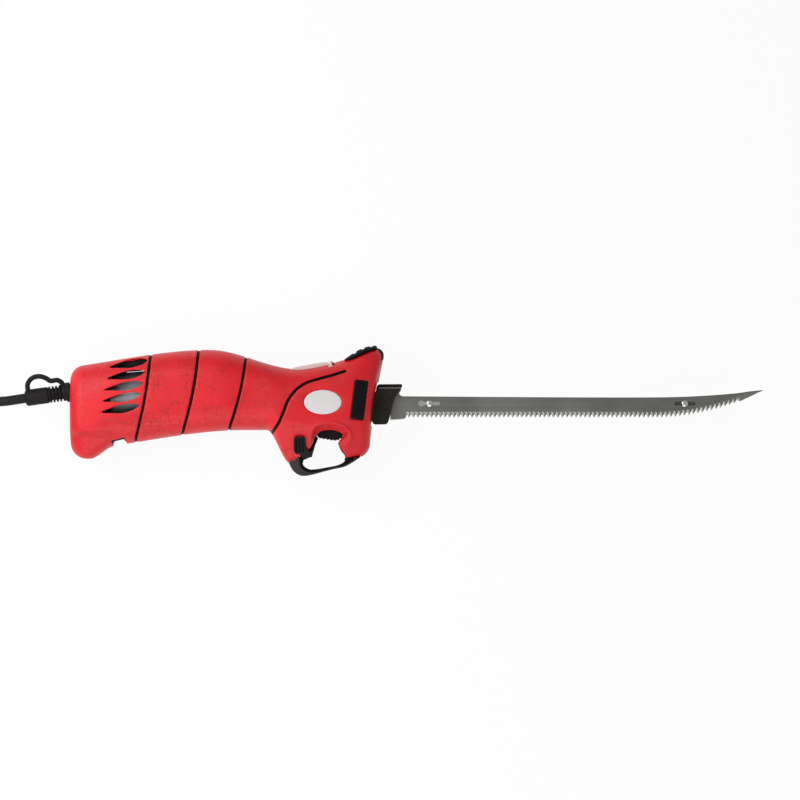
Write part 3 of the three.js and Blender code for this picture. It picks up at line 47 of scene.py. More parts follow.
scene.view_settings.view_transform = "Standard"

# the knife is drawn in mm on its own axes: x rear face to tip, y edge to spine, z across the seam
drawnOrigin = np.array([200.3512, -2.9374, -21.0])


def toRow(points):
    return (np.asarray(points, float).reshape(-1, 3) - drawnOrigin) / 1000


# camera straight above, as in the photograph
cameraSetup = {"middle": (203.98, 3.72), "across": 496.0, "lens": 200.0, "sensor": 36.0, "clip": (0.05, 20.0)}


def placeCamera():
    data = bpy.data.cameras.new("camera")
    data.lens = cameraSetup["lens"]
    data.sensor_width = cameraSetup["sensor"]
    data.clip_start, data.clip_end = cameraSetup["clip"]
    cam = bpy.data.objects.new("camera", data)
    x, y = cameraSetup["middle"]
    spot = toRow([x, y, 0])[0]
    rise = cameraSetup["across"] / 1000 / cameraSetup["sensor"] * cameraSetup["lens"]
    cam.location = (spot[0], spot[1], spot[2] + rise)
    scene.collection.objects.link(cam)
    scene.camera = cam


placeCamera()
print("camera placed")


# shader helpers
def wire(tree, kind, **values):
    node = tree.nodes.new(kind)
    for key, value in values.items():
        socket = node.inputs.get(key.replace("_", " "))
        if socket is not None and not hasattr(value, "is_output"):
            socket.default_value = value
        elif socket is not None:
            tree.links.new(value, socket)
        else:
            setattr(node, key, value)
    return node


def ramp(tree, source, stops):
    node = tree.nodes.new("ShaderNodeValToRGB")
    while len(node.color_ramp.elements) < len(stops):
        node.color_ramp.elements.new(0.5)
    for element, (place, colour) in zip(node.color_ramp.elements, stops):
        element.position = place
        element.color = colour if hasattr(colour, "__len__") else (colour, colour, colour, 1)
    tree.links.new(source, node.inputs["Fac"])
    return node.outputs["Color"]


def srgb(red, green, blue, lift=1.0):
    def one(value):
        v = value / 255
        return min(1.0, lift * (v / 12.92 if v <= 0.04045 else ((v + 0.055) / 1.055) ** 2.4))
    return (one(red), one(green), one(blue), 1)


def shade(colour, by):
    return tuple(min(1.0, c * by) for c in colour[:3]) + (1,)


# one entry for each finish: tone, how far it drifts, roughness low and high, fine grain and edge wear
finishes = {
    "redGrip": {"tone": srgb(222, 20, 33), "drift": 0.12, "patch": 46, "rough": (0.38, 0.5),
                "grain": (1500, 0.00005), "wear": (0.3, srgb(240, 96, 94)), "gloss": 0.45,
                "cells": (230, 0.00016, 0.62)},
    "blackNylon": {"tone": srgb(9, 8, 8), "drift": 0.3, "patch": 90, "rough": (0.42, 0.58),
                   "grain": (1400, 0.00007), "wear": (0.3, srgb(46, 44, 44)), "gloss": 0.1},
    "guardNylon": {"tone": srgb(56, 53, 52), "drift": 0.25, "patch": 80, "rough": (0.4, 0.55),
                   "grain": (1300, 0.00008), "wear": (0.4, srgb(104, 101, 98)), "gloss": 0.25},
    "softRubber": {"tone": srgb(22, 18, 19), "drift": 0.3, "patch": 120, "rough": (0.5, 0.66),
                   "grain": (2100, 0.00009), "wear": (0.25, srgb(66, 62, 62)), "gloss": 0.2},
    "padRubber": {"tone": srgb(8, 7, 7), "drift": 0.3, "patch": 120, "rough": (0.4, 0.56),
                  "grain": (1500, 0.00012), "wear": (0.3, srgb(44, 41, 42)), "gloss": 0.03},
    "lockNylon": {"tone": srgb(10, 9, 9), "drift": 0.25, "patch": 90, "rough": (0.3, 0.42),
                  "grain": (1400, 0.00005), "wear": (0.45, srgb(74, 72, 70)), "gloss": 0.16},
    "cordRubber": {"tone": srgb(22, 19, 20), "drift": 0.25, "patch": 70, "rough": (0.45, 0.6),
                   "grain": (1700, 0.00006), "wear": (0.15, srgb(60, 57, 58)), "gloss": 0.2},
    "baseNylon": {"tone": srgb(36, 35, 30), "drift": 0.22, "patch": 100, "rough": (0.44, 0.58),
                  "grain": (1500, 0.0001), "wear": (0.4, srgb(90, 88, 80)), "gloss": 0.22},
    "palePad": {"tone": srgb(233, 220, 217), "drift": 0.06, "patch": 70, "rough": (0.36, 0.5),
                "grain": (1200, 0.00004), "wear": (0.1, srgb(246, 240, 238))},
    "badgeFace": {"tone": srgb(226, 221, 221), "drift": 0.04, "patch": 110, "rough": (0.3, 0.42),
                  "grain": (1800, 0.00003), "wear": (0.5, srgb(250, 247, 246))},
    "plateInk": {"tone": srgb(14, 13, 13), "drift": 0.25, "patch": 120, "rough": (0.32, 0.44),
                 "grain": (1600, 0.00003), "wear": (0.35, srgb(74, 70, 70)), "gloss": 0.18},
    "bladeSteel": {"tone": srgb(146, 145, 141), "drift": 0.1, "patch": 30, "rough": (0.34, 0.46),
                   "grain": (700, 0.00002), "wear": (0.25, srgb(176, 175, 170)), "metal": 1.0, "brush": (6, 900, 900)},
    "groundSteel": {"tone": srgb(164, 164, 160), "drift": 0.12, "patch": 60, "rough": (0.22, 0.34),
                    "grain": (900, 0.00002), "wear": (0.2, srgb(214, 213, 208)), "metal": 1.0, "brush": (900, 40, 900)},
    # polished steel for the rivet heads; also laid on the left blade's inner face near the heel, where its brighter
    # tone is painted reflection seen through the slot
    "polishedSteelAndPaintedReflection": {"tone": srgb(228, 228, 224), "drift": 0.06, "patch": 90, "rough": (0.2, 0.3),
                    "grain": (900, 0.00002), "wear": (0.2, srgb(246, 246, 243)), "metal": 1.0},
    # a darker copy of the blade steel: painted shade on the left blade's inner face towards the tip, seen through the
    # slot
    "shadedSteel": {"tone": srgb(104, 103, 100), "drift": 0.12, "patch": 60, "rough": (0.4, 0.52),
                    "grain": (900, 0.00002), "wear": (0.1, srgb(120, 119, 115)), "metal": 1.0},
    "turnedSteel": {"tone": srgb(168, 168, 167), "drift": 0.14, "patch": 80, "rough": (0.24, 0.38),
                    "grain": (800, 0.00003), "wear": (0.2, srgb(205, 204, 202)), "metal": 1.0, "brush": (700, 60, 60)},
    "canSteel": {"tone": srgb(124, 126, 131), "drift": 0.2, "patch": 120, "rough": (0.42, 0.58),
                 "grain": (600, 0.00004), "wear": (0.2, srgb(190, 190, 192)), "metal": 1.0, "brush": (900, 30, 30)},
    "stackedIron": {"tone": srgb(96, 96, 99), "drift": 0.3, "patch": 140, "rough": (0.45, 0.6),
                    "grain": (500, 0.00006), "wear": (0.2, srgb(128, 128, 130)), "metal": 0.9, "brush": (1400, 20, 20)},
    "copperWire": {"tone": srgb(190, 112, 66), "drift": 0.25, "patch": 160, "rough": (0.26, 0.4),
                   "grain": (900, 0.0001), "wear": (0.2, srgb(220, 150, 100)), "metal": 1.0, "brush": (300, 1600, 300)},
    "ferrite": {"tone": srgb(62, 63, 65), "drift": 0.3, "patch": 150, "rough": (0.6, 0.75),
                "grain": (1100, 0.00012), "wear": (0.3, srgb(98, 98, 99))},
    "brightBrass": {"tone": srgb(196, 160, 86), "drift": 0.15, "patch": 120, "rough": (0.24, 0.36),
                    "grain": (900, 0.00003), "wear": (0.2, srgb(226, 196, 130)), "metal": 1.0, "brush": (60, 700, 700)},
    "carbonBlock": {"tone": srgb(38, 37, 38), "drift": 0.3, "patch": 200, "rough": (0.6, 0.72),
                    "grain": (1800, 0.0001), "wear": (0.2, srgb(72, 72, 72))},
    "naturalNylon": {"tone": srgb(216, 209, 190), "drift": 0.1, "patch": 90, "rough": (0.4, 0.52),
                     "grain": (1300, 0.00005), "wear": (0.2, srgb(236, 230, 214))},
}
materials = {}


def multiplied(tree, colour, by):
    mixed = wire(tree, "ShaderNodeMix", data_type="RGBA", blend_type="MULTIPLY")
    mixed.inputs["Factor"].default_value = 1.0
    tree.links.new(colour, mixed.inputs["A"])
    tree.links.new(by, mixed.inputs["B"])
    return mixed.outputs["Result"]


def worked(tree, operation, first, second):
    node = wire(tree, "ShaderNodeMath", operation=operation)
    tree.links.new(first, node.inputs[0])
    tree.links.new(second, node.inputs[1])
    return node.outputs["Value"]


# drawn lines, long one way and fine across
def brushLines(tree, where, scale):
    stretched = wire(tree, "ShaderNodeMapping", Vector=where, Scale=scale)
    lines = wire(tree, "ShaderNodeTexNoise", Vector=stretched.outputs["Vector"], Scale=1.0, Detail=4.0, Roughness=0.65)
    return lines.outputs["Fac"]


# moulded crackle, broken up and fading towards the nose
crackleSetup = {"warp": 170.0, "shift": 0.002, "stretch": (0.8, 1.15, 1.0), "loose": 0.62, "spots": 75.0,
                "along": (-0.2, 0.0), "fade": [(0.0, 0.55), (0.3, 1.0), (0.62, 0.9), (0.85, 0.25)]}


def crackleHeight(tree, where, scale):
    k = crackleSetup
    warp = wire(tree, "ShaderNodeTexNoise", Vector=where, Scale=k["warp"], Detail=2.0)
    shift = wire(tree, "ShaderNodeVectorMath", operation="MULTIPLY_ADD")
    tree.links.new(warp.outputs["Color"], shift.inputs[0])
    shift.inputs[1].default_value = (k["shift"],) * 3
    tree.links.new(where, shift.inputs[2])
    laid = wire(tree, "ShaderNodeMapping", Vector=shift.outputs["Vector"], Scale=k["stretch"])
    near, far = (wire(tree, "ShaderNodeTexVoronoi", Vector=laid.outputs["Vector"], feature=kind, distance="CHEBYCHEV",
                      Scale=scale, Randomness=k["loose"]).outputs["Distance"] for kind in ("F1", "F2"))
    line = ramp(tree, worked(tree, "SUBTRACT", far, near), [(0.0, 0.0), (0.09, 1.0)])
    spots = wire(tree, "ShaderNodeTexNoise", Vector=where, Scale=k["spots"], Detail=3.0)
    patches = ramp(tree, spots.outputs["Fac"], [(0.36, 0.0), (0.62, 1.0)])
    apart = wire(tree, "ShaderNodeSeparateXYZ", Vector=where)
    span = wire(tree, "ShaderNodeMapRange", Value=apart.outputs["X"], From_Min=k["along"][0], From_Max=k["along"][1])
    height = wire(tree, "ShaderNodeMix", data_type="FLOAT")
    height.inputs["A"].default_value = 1.0
    share = worked(tree, "MULTIPLY", patches, ramp(tree, span.outputs["Result"], k["fade"]))
    tree.links.new(share, height.inputs["Factor"])
    tree.links.new(line, height.inputs["B"])
    return height.outputs["Result"]


def makeFinish(name):
    if name in materials:
        return materials[name]
    look = finishes[name]
    mat = bpy.data.materials.new(name)
    mat.use_nodes = True
    tree = mat.node_tree
    tree.nodes.clear()
    out = tree.nodes.new("ShaderNodeOutputMaterial")
    skin = tree.nodes.new("ShaderNodeBsdfPrincipled")
    tree.links.new(skin.outputs["BSDF"], out.inputs["Surface"])
    where = tree.nodes.new("ShaderNodeTexCoord").outputs["Object"]
    tone, drift = look["tone"], look["drift"]
    cloud = wire(tree, "ShaderNodeTexNoise", Vector=where, Scale=look["patch"], Detail=5.0, Roughness=0.6)
    colour = ramp(tree, cloud.outputs["Fac"], [(0.3, shade(tone, 1 - drift)), (0.72, shade(tone, 1 + drift))])
    grain, deep = look["grain"]
    if "brush" in look:
        height = brushLines(tree, where, look["brush"])
        colour = multiplied(tree, colour, ramp(tree, height, [(0.25, 0.8), (0.75, 1.12)]))
    else:
        height = wire(tree, "ShaderNodeTexNoise", Vector=where, Scale=grain, Detail=3.0, Roughness=0.55).outputs["Fac"]
    normal = wire(tree, "ShaderNodeBump", Height=height, Strength=0.7, Distance=deep).outputs["Normal"]
    if "cells" in look:
        scale, depth, dark = look["cells"]
        height = crackleHeight(tree, where, scale)
        cracks = wire(tree, "ShaderNodeBump", Height=height, Strength=0.8, Distance=depth, Normal=normal)
        normal = cracks.outputs["Normal"]
        colour = multiplied(tree, colour, ramp(tree, height, [(0.0, (dark, dark * 0.55, dark * 0.55, 1)), (1.0, 1.0)]))
    amount, rubbed = look["wear"]
    edge = tree.nodes.new("ShaderNodeNewGeometry").outputs["Pointiness"]
    patchy = wire(tree, "ShaderNodeTexNoise", Vector=where, Scale=220.0, Detail=4.0)
    worn = worked(tree, "MULTIPLY", ramp(tree, edge, [(0.515, 0.0), (0.6, amount)]),
                  ramp(tree, patchy.outputs["Fac"], [(0.35, 0.2), (0.65, 1.0)]))
    paint = wire(tree, "ShaderNodeMix", data_type="RGBA")
    tree.links.new(worn, paint.inputs["Factor"])
    tree.links.new(colour, paint.inputs["A"])
    paint.inputs["B"].default_value = rubbed
    tree.links.new(paint.outputs["Result"], skin.inputs["Base Color"])
    low, high = look["rough"]
    dull = wire(tree, "ShaderNodeMapRange", Value=cloud.outputs["Fac"], From_Min=0.3, From_Max=0.7, To_Min=low,
                To_Max=high)
    tree.links.new(dull.outputs["Result"], skin.inputs["Roughness"])
    tree.links.new(normal, skin.inputs["Normal"])
    skin.inputs["Metallic"].default_value = look.get("metal", 0.0)
    skin.inputs["Specular IOR Level"].default_value = look.get("gloss", 0.5)
    materials[name] = mat
    return mat


# solids
fit = 0.3  # gap between pieces that meet
toolReach = 42  # cutting tools run this far past the seam
afar = (-60, 260, -80, 80)  # a box round the whole grip


def solidOf(name, points, faces):
    mesh = bpy.data.meshes.new(name)
    mesh.from_pydata([tuple(p) for p in np.asarray(points, float)], [], [tuple(f) for f in faces])
    mesh.update()
    obj = bpy.data.objects.new(name, mesh)
    scene.collection.objects.link(obj)
    return obj


def loft(name, rings, closed=False):
    rings = np.asarray(rings, float)
    count, around = rings.shape[:2]
    points = rings.reshape(-1, 3).tolist()
    faces = []
    spans = count if closed else count - 1
    for k in range(spans):
        low, high = k * around, ((k + 1) % count) * around
        for i in range(around):
            j = (i + 1) % around
            faces.append((low + i, low + j, high + j, high + i))
    if not closed:
        for k, flip in ((0, True), (count - 1, False)):
            middle = len(points)
            points.append(rings[k].mean(0).tolist())
            for i in range(around):
                a, b = k * around + i, k * around + (i + 1) % around
                faces.append((middle, b, a) if flip else (middle, a, b))
    obj = solidOf(name, points, faces)
    faceOut(obj)
    return obj


def faceOut(obj):
    mesh = obj.data
    mesh.calc_loop_triangles()
    co = np.array([v.co for v in mesh.vertices])
    tri = np.array([t.vertices for t in mesh.loop_triangles])
    a, b, c = co[tri[:, 0]], co[tri[:, 1]], co[tri[:, 2]]
    if np.einsum("ij,ij->i", a, np.cross(b, c)).sum() < 0:
        mesh.flip_normals()


def prism(name, outline, low, high):
    flat = np.asarray(outline, float)[:, :2]
    count = len(flat)
    points = [(x, y, low) for x, y in flat] + [(x, y, high) for x, y in flat]
    faces = [tuple(range(count - 1, -1, -1)), tuple(range(count, 2 * count))]
    faces += [(i, (i + 1) % count, count + (i + 1) % count, count + i) for i in range(count)]
    obj = solidOf(name, points, faces)
    faceOut(obj)
    return obj


def throughCut(name, line):
    return prism(name, line, -toolReach, toolReach)


def circle(x, y, radius, sides):
    turn = np.linspace(0, 2 * math.pi, sides, endpoint=False)
    return np.c_[x + radius * np.cos(turn), y + radius * np.sin(turn)]


def roundedBox(x0, x1, y0, y1, radius, steps):
    pts = []
    left, right, low, high = x0 + radius, x1 - radius, y0 + radius, y1 - radius
    corners = ((right, high), (left, high), (left, low), (right, low))
    for quarter, (x, y) in enumerate(corners):
        turn = np.radians(90 * quarter + np.linspace(0, 90, steps))
        pts += [*zip(x + radius * np.cos(turn), y + radius * np.sin(turn))]
    return np.array(pts)


def turned(points, degrees, middle):
    c, s = math.cos(math.radians(degrees)), math.sin(math.radians(degrees))
    pts = np.asarray(points, float)
    return np.c_[pts[:, 0] * c - pts[:, 1] * s + middle[0], pts[:, 0] * s + pts[:, 1] * c + middle[1]]


def turnMesh(obj, degrees, middle):
    co = np.array([v.co for v in obj.data.vertices])
    co[:, :2] = turned(co, degrees, middle)
    obj.data.vertices.foreach_set("co", co.ravel())
    faceOut(obj)
    return obj


def block(name, x0, x1, y0, y1, z0, z1):
    return prism(name, [(x0, y0), (x1, y0), (x1, y1), (x0, y1)], min(z0, z1), max(z0, z1))


def rod(name, x, y, z0, z1, radius, sides=40):
    return prism(name, circle(x, y, radius, sides), z0, z1)


# turned about an upright axis, with (height, radius) pairs
def upright(name, x, y, profile, sides):
    return loft(name, [np.c_[circle(x, y, radius, sides), np.full(sides, z)] for z, radius in profile])


# turned about the x axis, with (place, radius) pairs
def turnedAbout(name, profile, sides=64):
    turn = np.linspace(0, 2 * math.pi, sides, endpoint=False)
    rings = [[(u, r * math.cos(t), r * math.sin(t)) for t in turn] for u, r in profile]
    return loft(name, rings, closed=True)


def swept(name, path, radius, sides=20, squeeze=1.0):
    path = np.asarray(path, float)
    ahead = np.gradient(path, axis=0)
    ahead /= np.linalg.norm(ahead, axis=1)[:, None]
    side = np.cross(np.array([0, 0, 1.0]), ahead)
    side /= np.maximum(np.linalg.norm(side, axis=1), 1e-9)[:, None]
    over = np.cross(ahead, side)
    turn = np.linspace(0, 2 * math.pi, sides, endpoint=False)
    wide = radius if hasattr(radius, "__len__") else np.full(len(path), radius)
    rings = [p + w * (np.outer(np.cos(turn), s) + squeeze * np.outer(np.sin(turn), o))
             for p, s, o, w in zip(path, side, over, wide)]
    return loft(name, rings)


def bake(obj):
    graph = bpy.context.evaluated_depsgraph_get()
    mesh = bpy.data.meshes.new_from_object(obj.evaluated_get(graph))
    obj.modifiers.clear()
    old = obj.data
    obj.data = mesh
    bpy.data.meshes.remove(old)
    return obj


def carve(obj, *tools, how="DIFFERENCE", keep=False):
    for tool in tools:
        step = obj.modifiers.new("carve", "BOOLEAN")
        step.solver = "MANIFOLD"
        step.operation = how
        step.object = tool
    bake(obj)
    if not keep:
        for tool in tools:
            drop(tool)
    return obj


def drop(obj):
    mesh = obj.data
    bpy.data.objects.remove(obj)
    bpy.data.meshes.remove(mesh)


def twin(obj, name):
    copy = bpy.data.objects.new(name, obj.data.copy())
    scene.collection.objects.link(copy)
    return copy


def soften(obj, voxel, rounds, ratio):
    cells = obj.modifiers.new("cells", "REMESH")
    cells.mode = "VOXEL"
    cells.voxel_size = voxel
    if rounds:
        ease = obj.modifiers.new("ease", "SMOOTH")
        ease.factor = 0.5
        ease.iterations = rounds
    if ratio < 1:
        thin = obj.modifiers.new("thin", "DECIMATE")
        thin.ratio = ratio
    return bake(obj)


def place(obj, name, finish, body, nodes, slot, sharp=None, extra=(), marks=None):
    mesh = obj.data
    flat = np.zeros(len(mesh.vertices) * 3)
    mesh.vertices.foreach_get("co", flat)
    mesh.vertices.foreach_set("co", toRow(flat).ravel())
    mesh.polygons.foreach_set("use_smooth", [True] * len(mesh.polygons))
    if sharp is not None:
        mesh.set_sharp_from_angle(angle=math.radians(sharp))
    mesh.update()
    obj.name = name
    mesh.name = name
    if extra and marks is None:
        marks = [p.material_index for p in mesh.polygons]
    mesh.materials.clear()
    for each in (finish, *extra):
        mesh.materials.append(makeFinish(each))
    if extra:
        mesh.polygons.foreach_set("material_index", marks)
    if isinstance(body, str):
        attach(obj, body)
    else:  # squeezed between two bodies
        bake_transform(obj)
    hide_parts(*nodes)
    return obj


# cord first: out of the relief, down to the floor, into the tied coil
cordSetup = {"radius": 3.0, "axisY": 8.8, "drop": 8.0, "relief": 28.5, "inside": 6.9, "floor": -21.0, "low": -16.7,
             "pitch": 6.6, "turns": 9, "inner": 23.5, "coil": (-124.0, -32.0), "tail": 30.0, "exitAt": -28.5}


def throughPoints(points, count):
    pts = np.asarray(points, float)
    first = 2 * pts[0] - pts[1]
    last = 2 * pts[-1] - pts[-2]
    ext = np.vstack([first, pts, last])
    spans = len(pts) - 1
    result = []
    for t in np.linspace(0, spans, count):
        k = min(int(t), spans - 1)
        u = t - k
        p0, p1, p2, p3 = ext[k:k + 4]
        d0, d1, d2 = (max(np.linalg.norm(b - a) ** 0.5, 1e-4) for a, b in ((p0, p1), (p1, p2), (p2, p3)))
        m1 = ((p1 - p0) / d0 - (p2 - p0) / (d0 + d1) + (p2 - p1) / d1) * d1
        m2 = ((p2 - p1) / d1 - (p3 - p1) / (d1 + d2) + (p3 - p2) / d2) * d1
        result.append((2 * p1 - 2 * p2 + m1 + m2) * u ** 3 + (-3 * p1 + 3 * p2 - 2 * m1 - m2) * u ** 2 + m1 * u + p1)
    return np.array(result)


def onCordAxis(u):
    slope = math.radians(cordSetup["drop"])
    return [u * math.cos(slope), cordSetup["axisY"] + u * math.sin(slope), 0.0]


def easeStep(x):
    t = np.clip(x, 0, 1)
    return t * t * (3 - 2 * t)


def cordRoute():
    c = cordSetup
    outer = c["inner"] + c["pitch"] * c["turns"] / 2
    cx, cy = c["coil"]
    top = cy + outer
    lead = [onCordAxis(c["inside"]), onCordAxis(-12), onCordAxis(-c["relief"]), onCordAxis(-c["relief"] - 14),
            [-59, 3, c["floor"] + 13.5], [-75, 9, c["floor"] + 6.8], [-90, 17, c["low"]], [-103, top - 0.4, c["low"]],
            [cx + 6 * c["radius"], top, c["low"]], [cx + 4 * c["radius"], top, c["low"]],
            [cx + 2 * c["radius"] + 0.3, top, c["low"]]]
    lead = throughPoints(lead, 60)
    mouth = np.array(onCordAxis(c["exitAt"]))
    lead = lead[lead[:, 0] < mouth[0] - 1.5]
    steps = 48
    i = np.arange(c["turns"] * steps + 1)
    turns = i / steps - c["turns"] / 2
    turn = math.pi / 2 + 2 * math.pi * i / steps
    radius = c["inner"] + c["pitch"] * np.abs(turns)
    rise = c["pitch"] * easeStep(2 * turns + 0.5)
    coil = np.c_[cx + radius * np.cos(turn), cy + radius * np.sin(turn), c["low"] + rise]
    end = coil[-1]
    tail = [[end[0] - f * c["tail"], end[1], end[2]] for f in (0.2, 0.4, 0.6, 0.8, 0.99)]
    return np.vstack([mouth, lead, coil, tail])


def makeCord():
    route = toRow(cordRoute())
    data = bpy.data.curves.new("cord", "CURVE")
    data.dimensions = "3D"
    line = data.splines.new("POLY")
    line.points.add(len(route) - 1)
    for point, (x, y, z) in zip(line.points, route):
        point.co = (x, y, z, 1)
    data.bevel_depth = cordSetup["radius"] / 1000
    data.bevel_resolution = 4
    data.use_fill_caps = True
    data.materials.append(makeFinish("cordRubber"))
    cord = bpy.data.objects.new("cord", data)
    scene.collection.objects.link(cord)
    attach(cord, "housing")
    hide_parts("cord_lead", "cord_coil")
    length = float(np.linalg.norm(np.diff(route, axis=0), axis=1).sum())
    print("cord length %.3f m" % length)
    return cord, route[0], length


cord, cordExit, cordLength = makeCord()

# plug: moulded body with a waist and grip ridges
plugSetup = {"length": 36.0, "half": 12.5, "places": [0, 0.03, 0.22, 0.44, 0.58, 0.97, 1], "neck": [6.2, 7.2, 7.9],
             "ridge": 0.35, "ridges": 5.5, "square": 0.6, "sides": 48, "pinLong": 17.0, "pinHigh": 6.3, "pinThick": 1.5,
             "pinApart": 12.7, "pinTip": 1.2, "pinHole": (4.2, 1.5)}


def makePlug():
    c, p = cordSetup, plugSetup
    x0 = c["coil"][0] - c["tail"]
    y0 = c["coil"][1] + c["inner"] + c["pitch"] * c["turns"] / 2
    z0 = c["low"] + c["pitch"]
    tall, half = z0 - c["floor"] - fit, p["half"]
    turn = np.linspace(0, 2 * math.pi, p["sides"], endpoint=False)
    across, upward = (np.sign(w) * np.abs(w) ** p["square"] for w in (np.cos(turn), np.sin(turn)))
    rings = []
    for u in np.linspace(0, 1, 60):
        wide = np.interp(u, p["places"], [*p["neck"], half - 2, half, half - 0.5, half - 1.4])
        high = np.interp(u, p["places"], [*p["neck"], tall - 1.6, tall, tall - 0.5, tall - 1.3])
        wide += p["ridge"] * math.sin(u * math.pi * 2 * p["ridges"]) * (0.25 < u < 0.55)
        rings.append(np.c_[np.full(p["sides"], x0 - u * p["length"]), y0 + wide * across, z0 + high * upward])
    plug = place(loft("plug", rings), "plugBody", "cordRubber", "housing", ["plug_body"], "rubber", sharp=50)
    pieces = [plug]
    front = x0 - p["length"]
    end, thick = front - p["pinLong"], p["pinThick"] / 2
    holeIn, holeRadius = p["pinHole"]
    for name, side in (("a", 1), ("b", -1)):
        y = y0 + side * p["pinApart"] / 2
        outline = [(front - fit, y - thick), (front - fit, y + thick), (end + p["pinTip"], y + thick), (end, y + 0.25),
                   (end, y - 0.25), (end + p["pinTip"], y - thick)]
        blade = prism("pin", outline, z0 - p["pinHigh"] / 2, z0 + p["pinHigh"] / 2)
        carve(blade, turnHole(end + holeIn, y, z0, holeRadius))
        node = "plug_pin_" + name
        pieces.append(place(blade, "plugPin_" + name, "brightBrass", "housing", [node], "brass", sharp=35))
    return pieces


def turnHole(x, y, z, radius):
    sides, reach = 28, 3
    u, w = circle(x, z, radius, sides).T
    return loft("hole", [np.c_[u, np.full(sides, v), w] for v in (y - reach, y + reach)])


plugPieces = makePlug()

# tie round the coil: a strap with rounded corners
tieSetup = {"thick": 1.0, "wide": 8.0, "angle": 245.0, "gap": 3.3, "corner": 2.0, "bevel": 0.3}


def makeTie():
    c, t = cordSetup, tieSetup
    outer = c["inner"] + c["pitch"] * c["turns"] / 2
    low, high = c["low"] - t["gap"], c["low"] + c["pitch"] + t["gap"]

    def hoop(grow):
        gap = t["gap"] + grow
        return roundedBox(c["inner"] - gap, outer + gap, low - grow, high + grow, t["corner"] + grow, 8)
    half = t["wide"] / 2
    rings = []
    for (u, w), (far, up) in zip(hoop(0.0), hoop(t["thick"])):
        rings.append([(u, -half, w), (far, t["bevel"] - half, up), (far, half - t["bevel"], up), (u, half, w)])
    strap = turnMesh(loft("tie", rings, closed=True), t["angle"], c["coil"])
    return place(strap, "cordTie", "softRubber", "housing", ["cord_tie"], "rubber", sharp=40)


tie = makeTie()
print("cord, plug and tie made")

# handle surface: places along the grip with a height or half width and a slope
gripShape = {
    "length": 185.4, "half": 21.0, "power": 2 / 2.7, "lean": 8.4, "leanFoot": -21.0, "leanOver": 50.0, "leanCurve": 2.4,
    "saddle": 145.0, "blend": 1.0, "lowFrom": -6.0, "lowOver": 24.0, "low": 0.42, "neck": 107.0, "post": 136.0,
    "leanMost": 1.3, "heelFrom": -13.5, "heelOver": 7.0, "heel": 0.25, "heelEnd": 33.0, "heelEase": 16.0,
    "ends": (10.0, 8.5),
    "top": [(0, 24.2, 0.13), (86, 34.8, 0), (145, 23.2, 0.12), (162, 27.4, 0.33), (170.7, 33.2, 0.95), (177.5, 36.3, 0),
            (185.4, 36.3, 0)],
    "bottom": [(0, -32.8, 0), (11.5, -32.8, 0), (27, -24.7, 0.15), (107, -15, 0), (121.5, -15, 0), (136, -35.6, 0),
               (160.7, -35.6, 0), (185.4, -31.8, 0)],
    "width": [(0, 20, 0.1), (27, 21.8, 0), (90, 21.8, 0), (110, 19.9, 0), (145, 22.2, 0), (165.2, 22.2, 0),
              (185.4, 17.5, -0.2)],
    "corners": {"top": (7.5, 8.5), "bottom": (10.0, 8.4), "width": (9.0, 5.0)},
}


def through(places, x):
    x = np.asarray(x, float)
    table = np.array(places)
    k = np.clip(np.searchsorted(table[:, 0], x), 1, len(table) - 1)
    x0, y0, m0 = table[k - 1].T
    x1, y1, m1 = table[k].T
    h = x1 - x0
    t = np.clip((x - x0) / h, 0, 1)
    return y0 + (y1 - y0) * t * t * (3 - 2 * t) + h * t * (1 - t) * (m0 * (1 - t) - m1 * t)


def corner(distance, radius):
    d = np.clip(distance, 0, radius)
    return radius - np.sqrt(radius ** 2 - (radius - d) ** 2)


def lineAt(kind, s):
    back, front = gripShape["corners"][kind]
    bend = corner(s, back) + corner(gripShape["length"] - np.asarray(s, float), front)
    return through(gripShape[kind], s) + (bend if kind == "bottom" else -bend)


def movedIn(kind, s, inset):
    if inset == 0:
        return lineAt(kind, s)
    sign = (-1 if kind == "bottom" else 1) * (1 if inset > 0 else -1)
    rows = []
    for share in np.linspace(-1, 1, 25):
        rows.append(sign * lineAt(kind, s + share * abs(inset)) - abs(inset) * math.sqrt(1 - share * share))
    return sign * np.min(rows, axis=0)


def leanAt(s, y):
    g = gripShape
    up = np.clip((np.asarray(y, float) - g["leanFoot"]) / g["leanOver"], 0, g["leanMost"]) ** g["leanCurve"]
    return g["lean"] * easeStep((np.asarray(s, float) - g["saddle"]) / (g["length"] - g["saddle"])) * up


def slimAt(s, y):
    g = gripShape
    post = g["low"] * easeStep((g["lowFrom"] - y) / g["lowOver"]) * easeStep((s - g["neck"]) / (g["post"] - g["neck"]))
    heel = g["heel"] * easeStep((g["heelFrom"] - y) / g["heelOver"]) * easeStep((g["heelEnd"] - s) / g["heelEase"])
    return (1 - post) * (1 - heel)


def softMin(a, b, blend):
    h = np.maximum(blend - np.abs(a - b), 0) / blend
    return np.minimum(a, b) - h * h * blend / 4


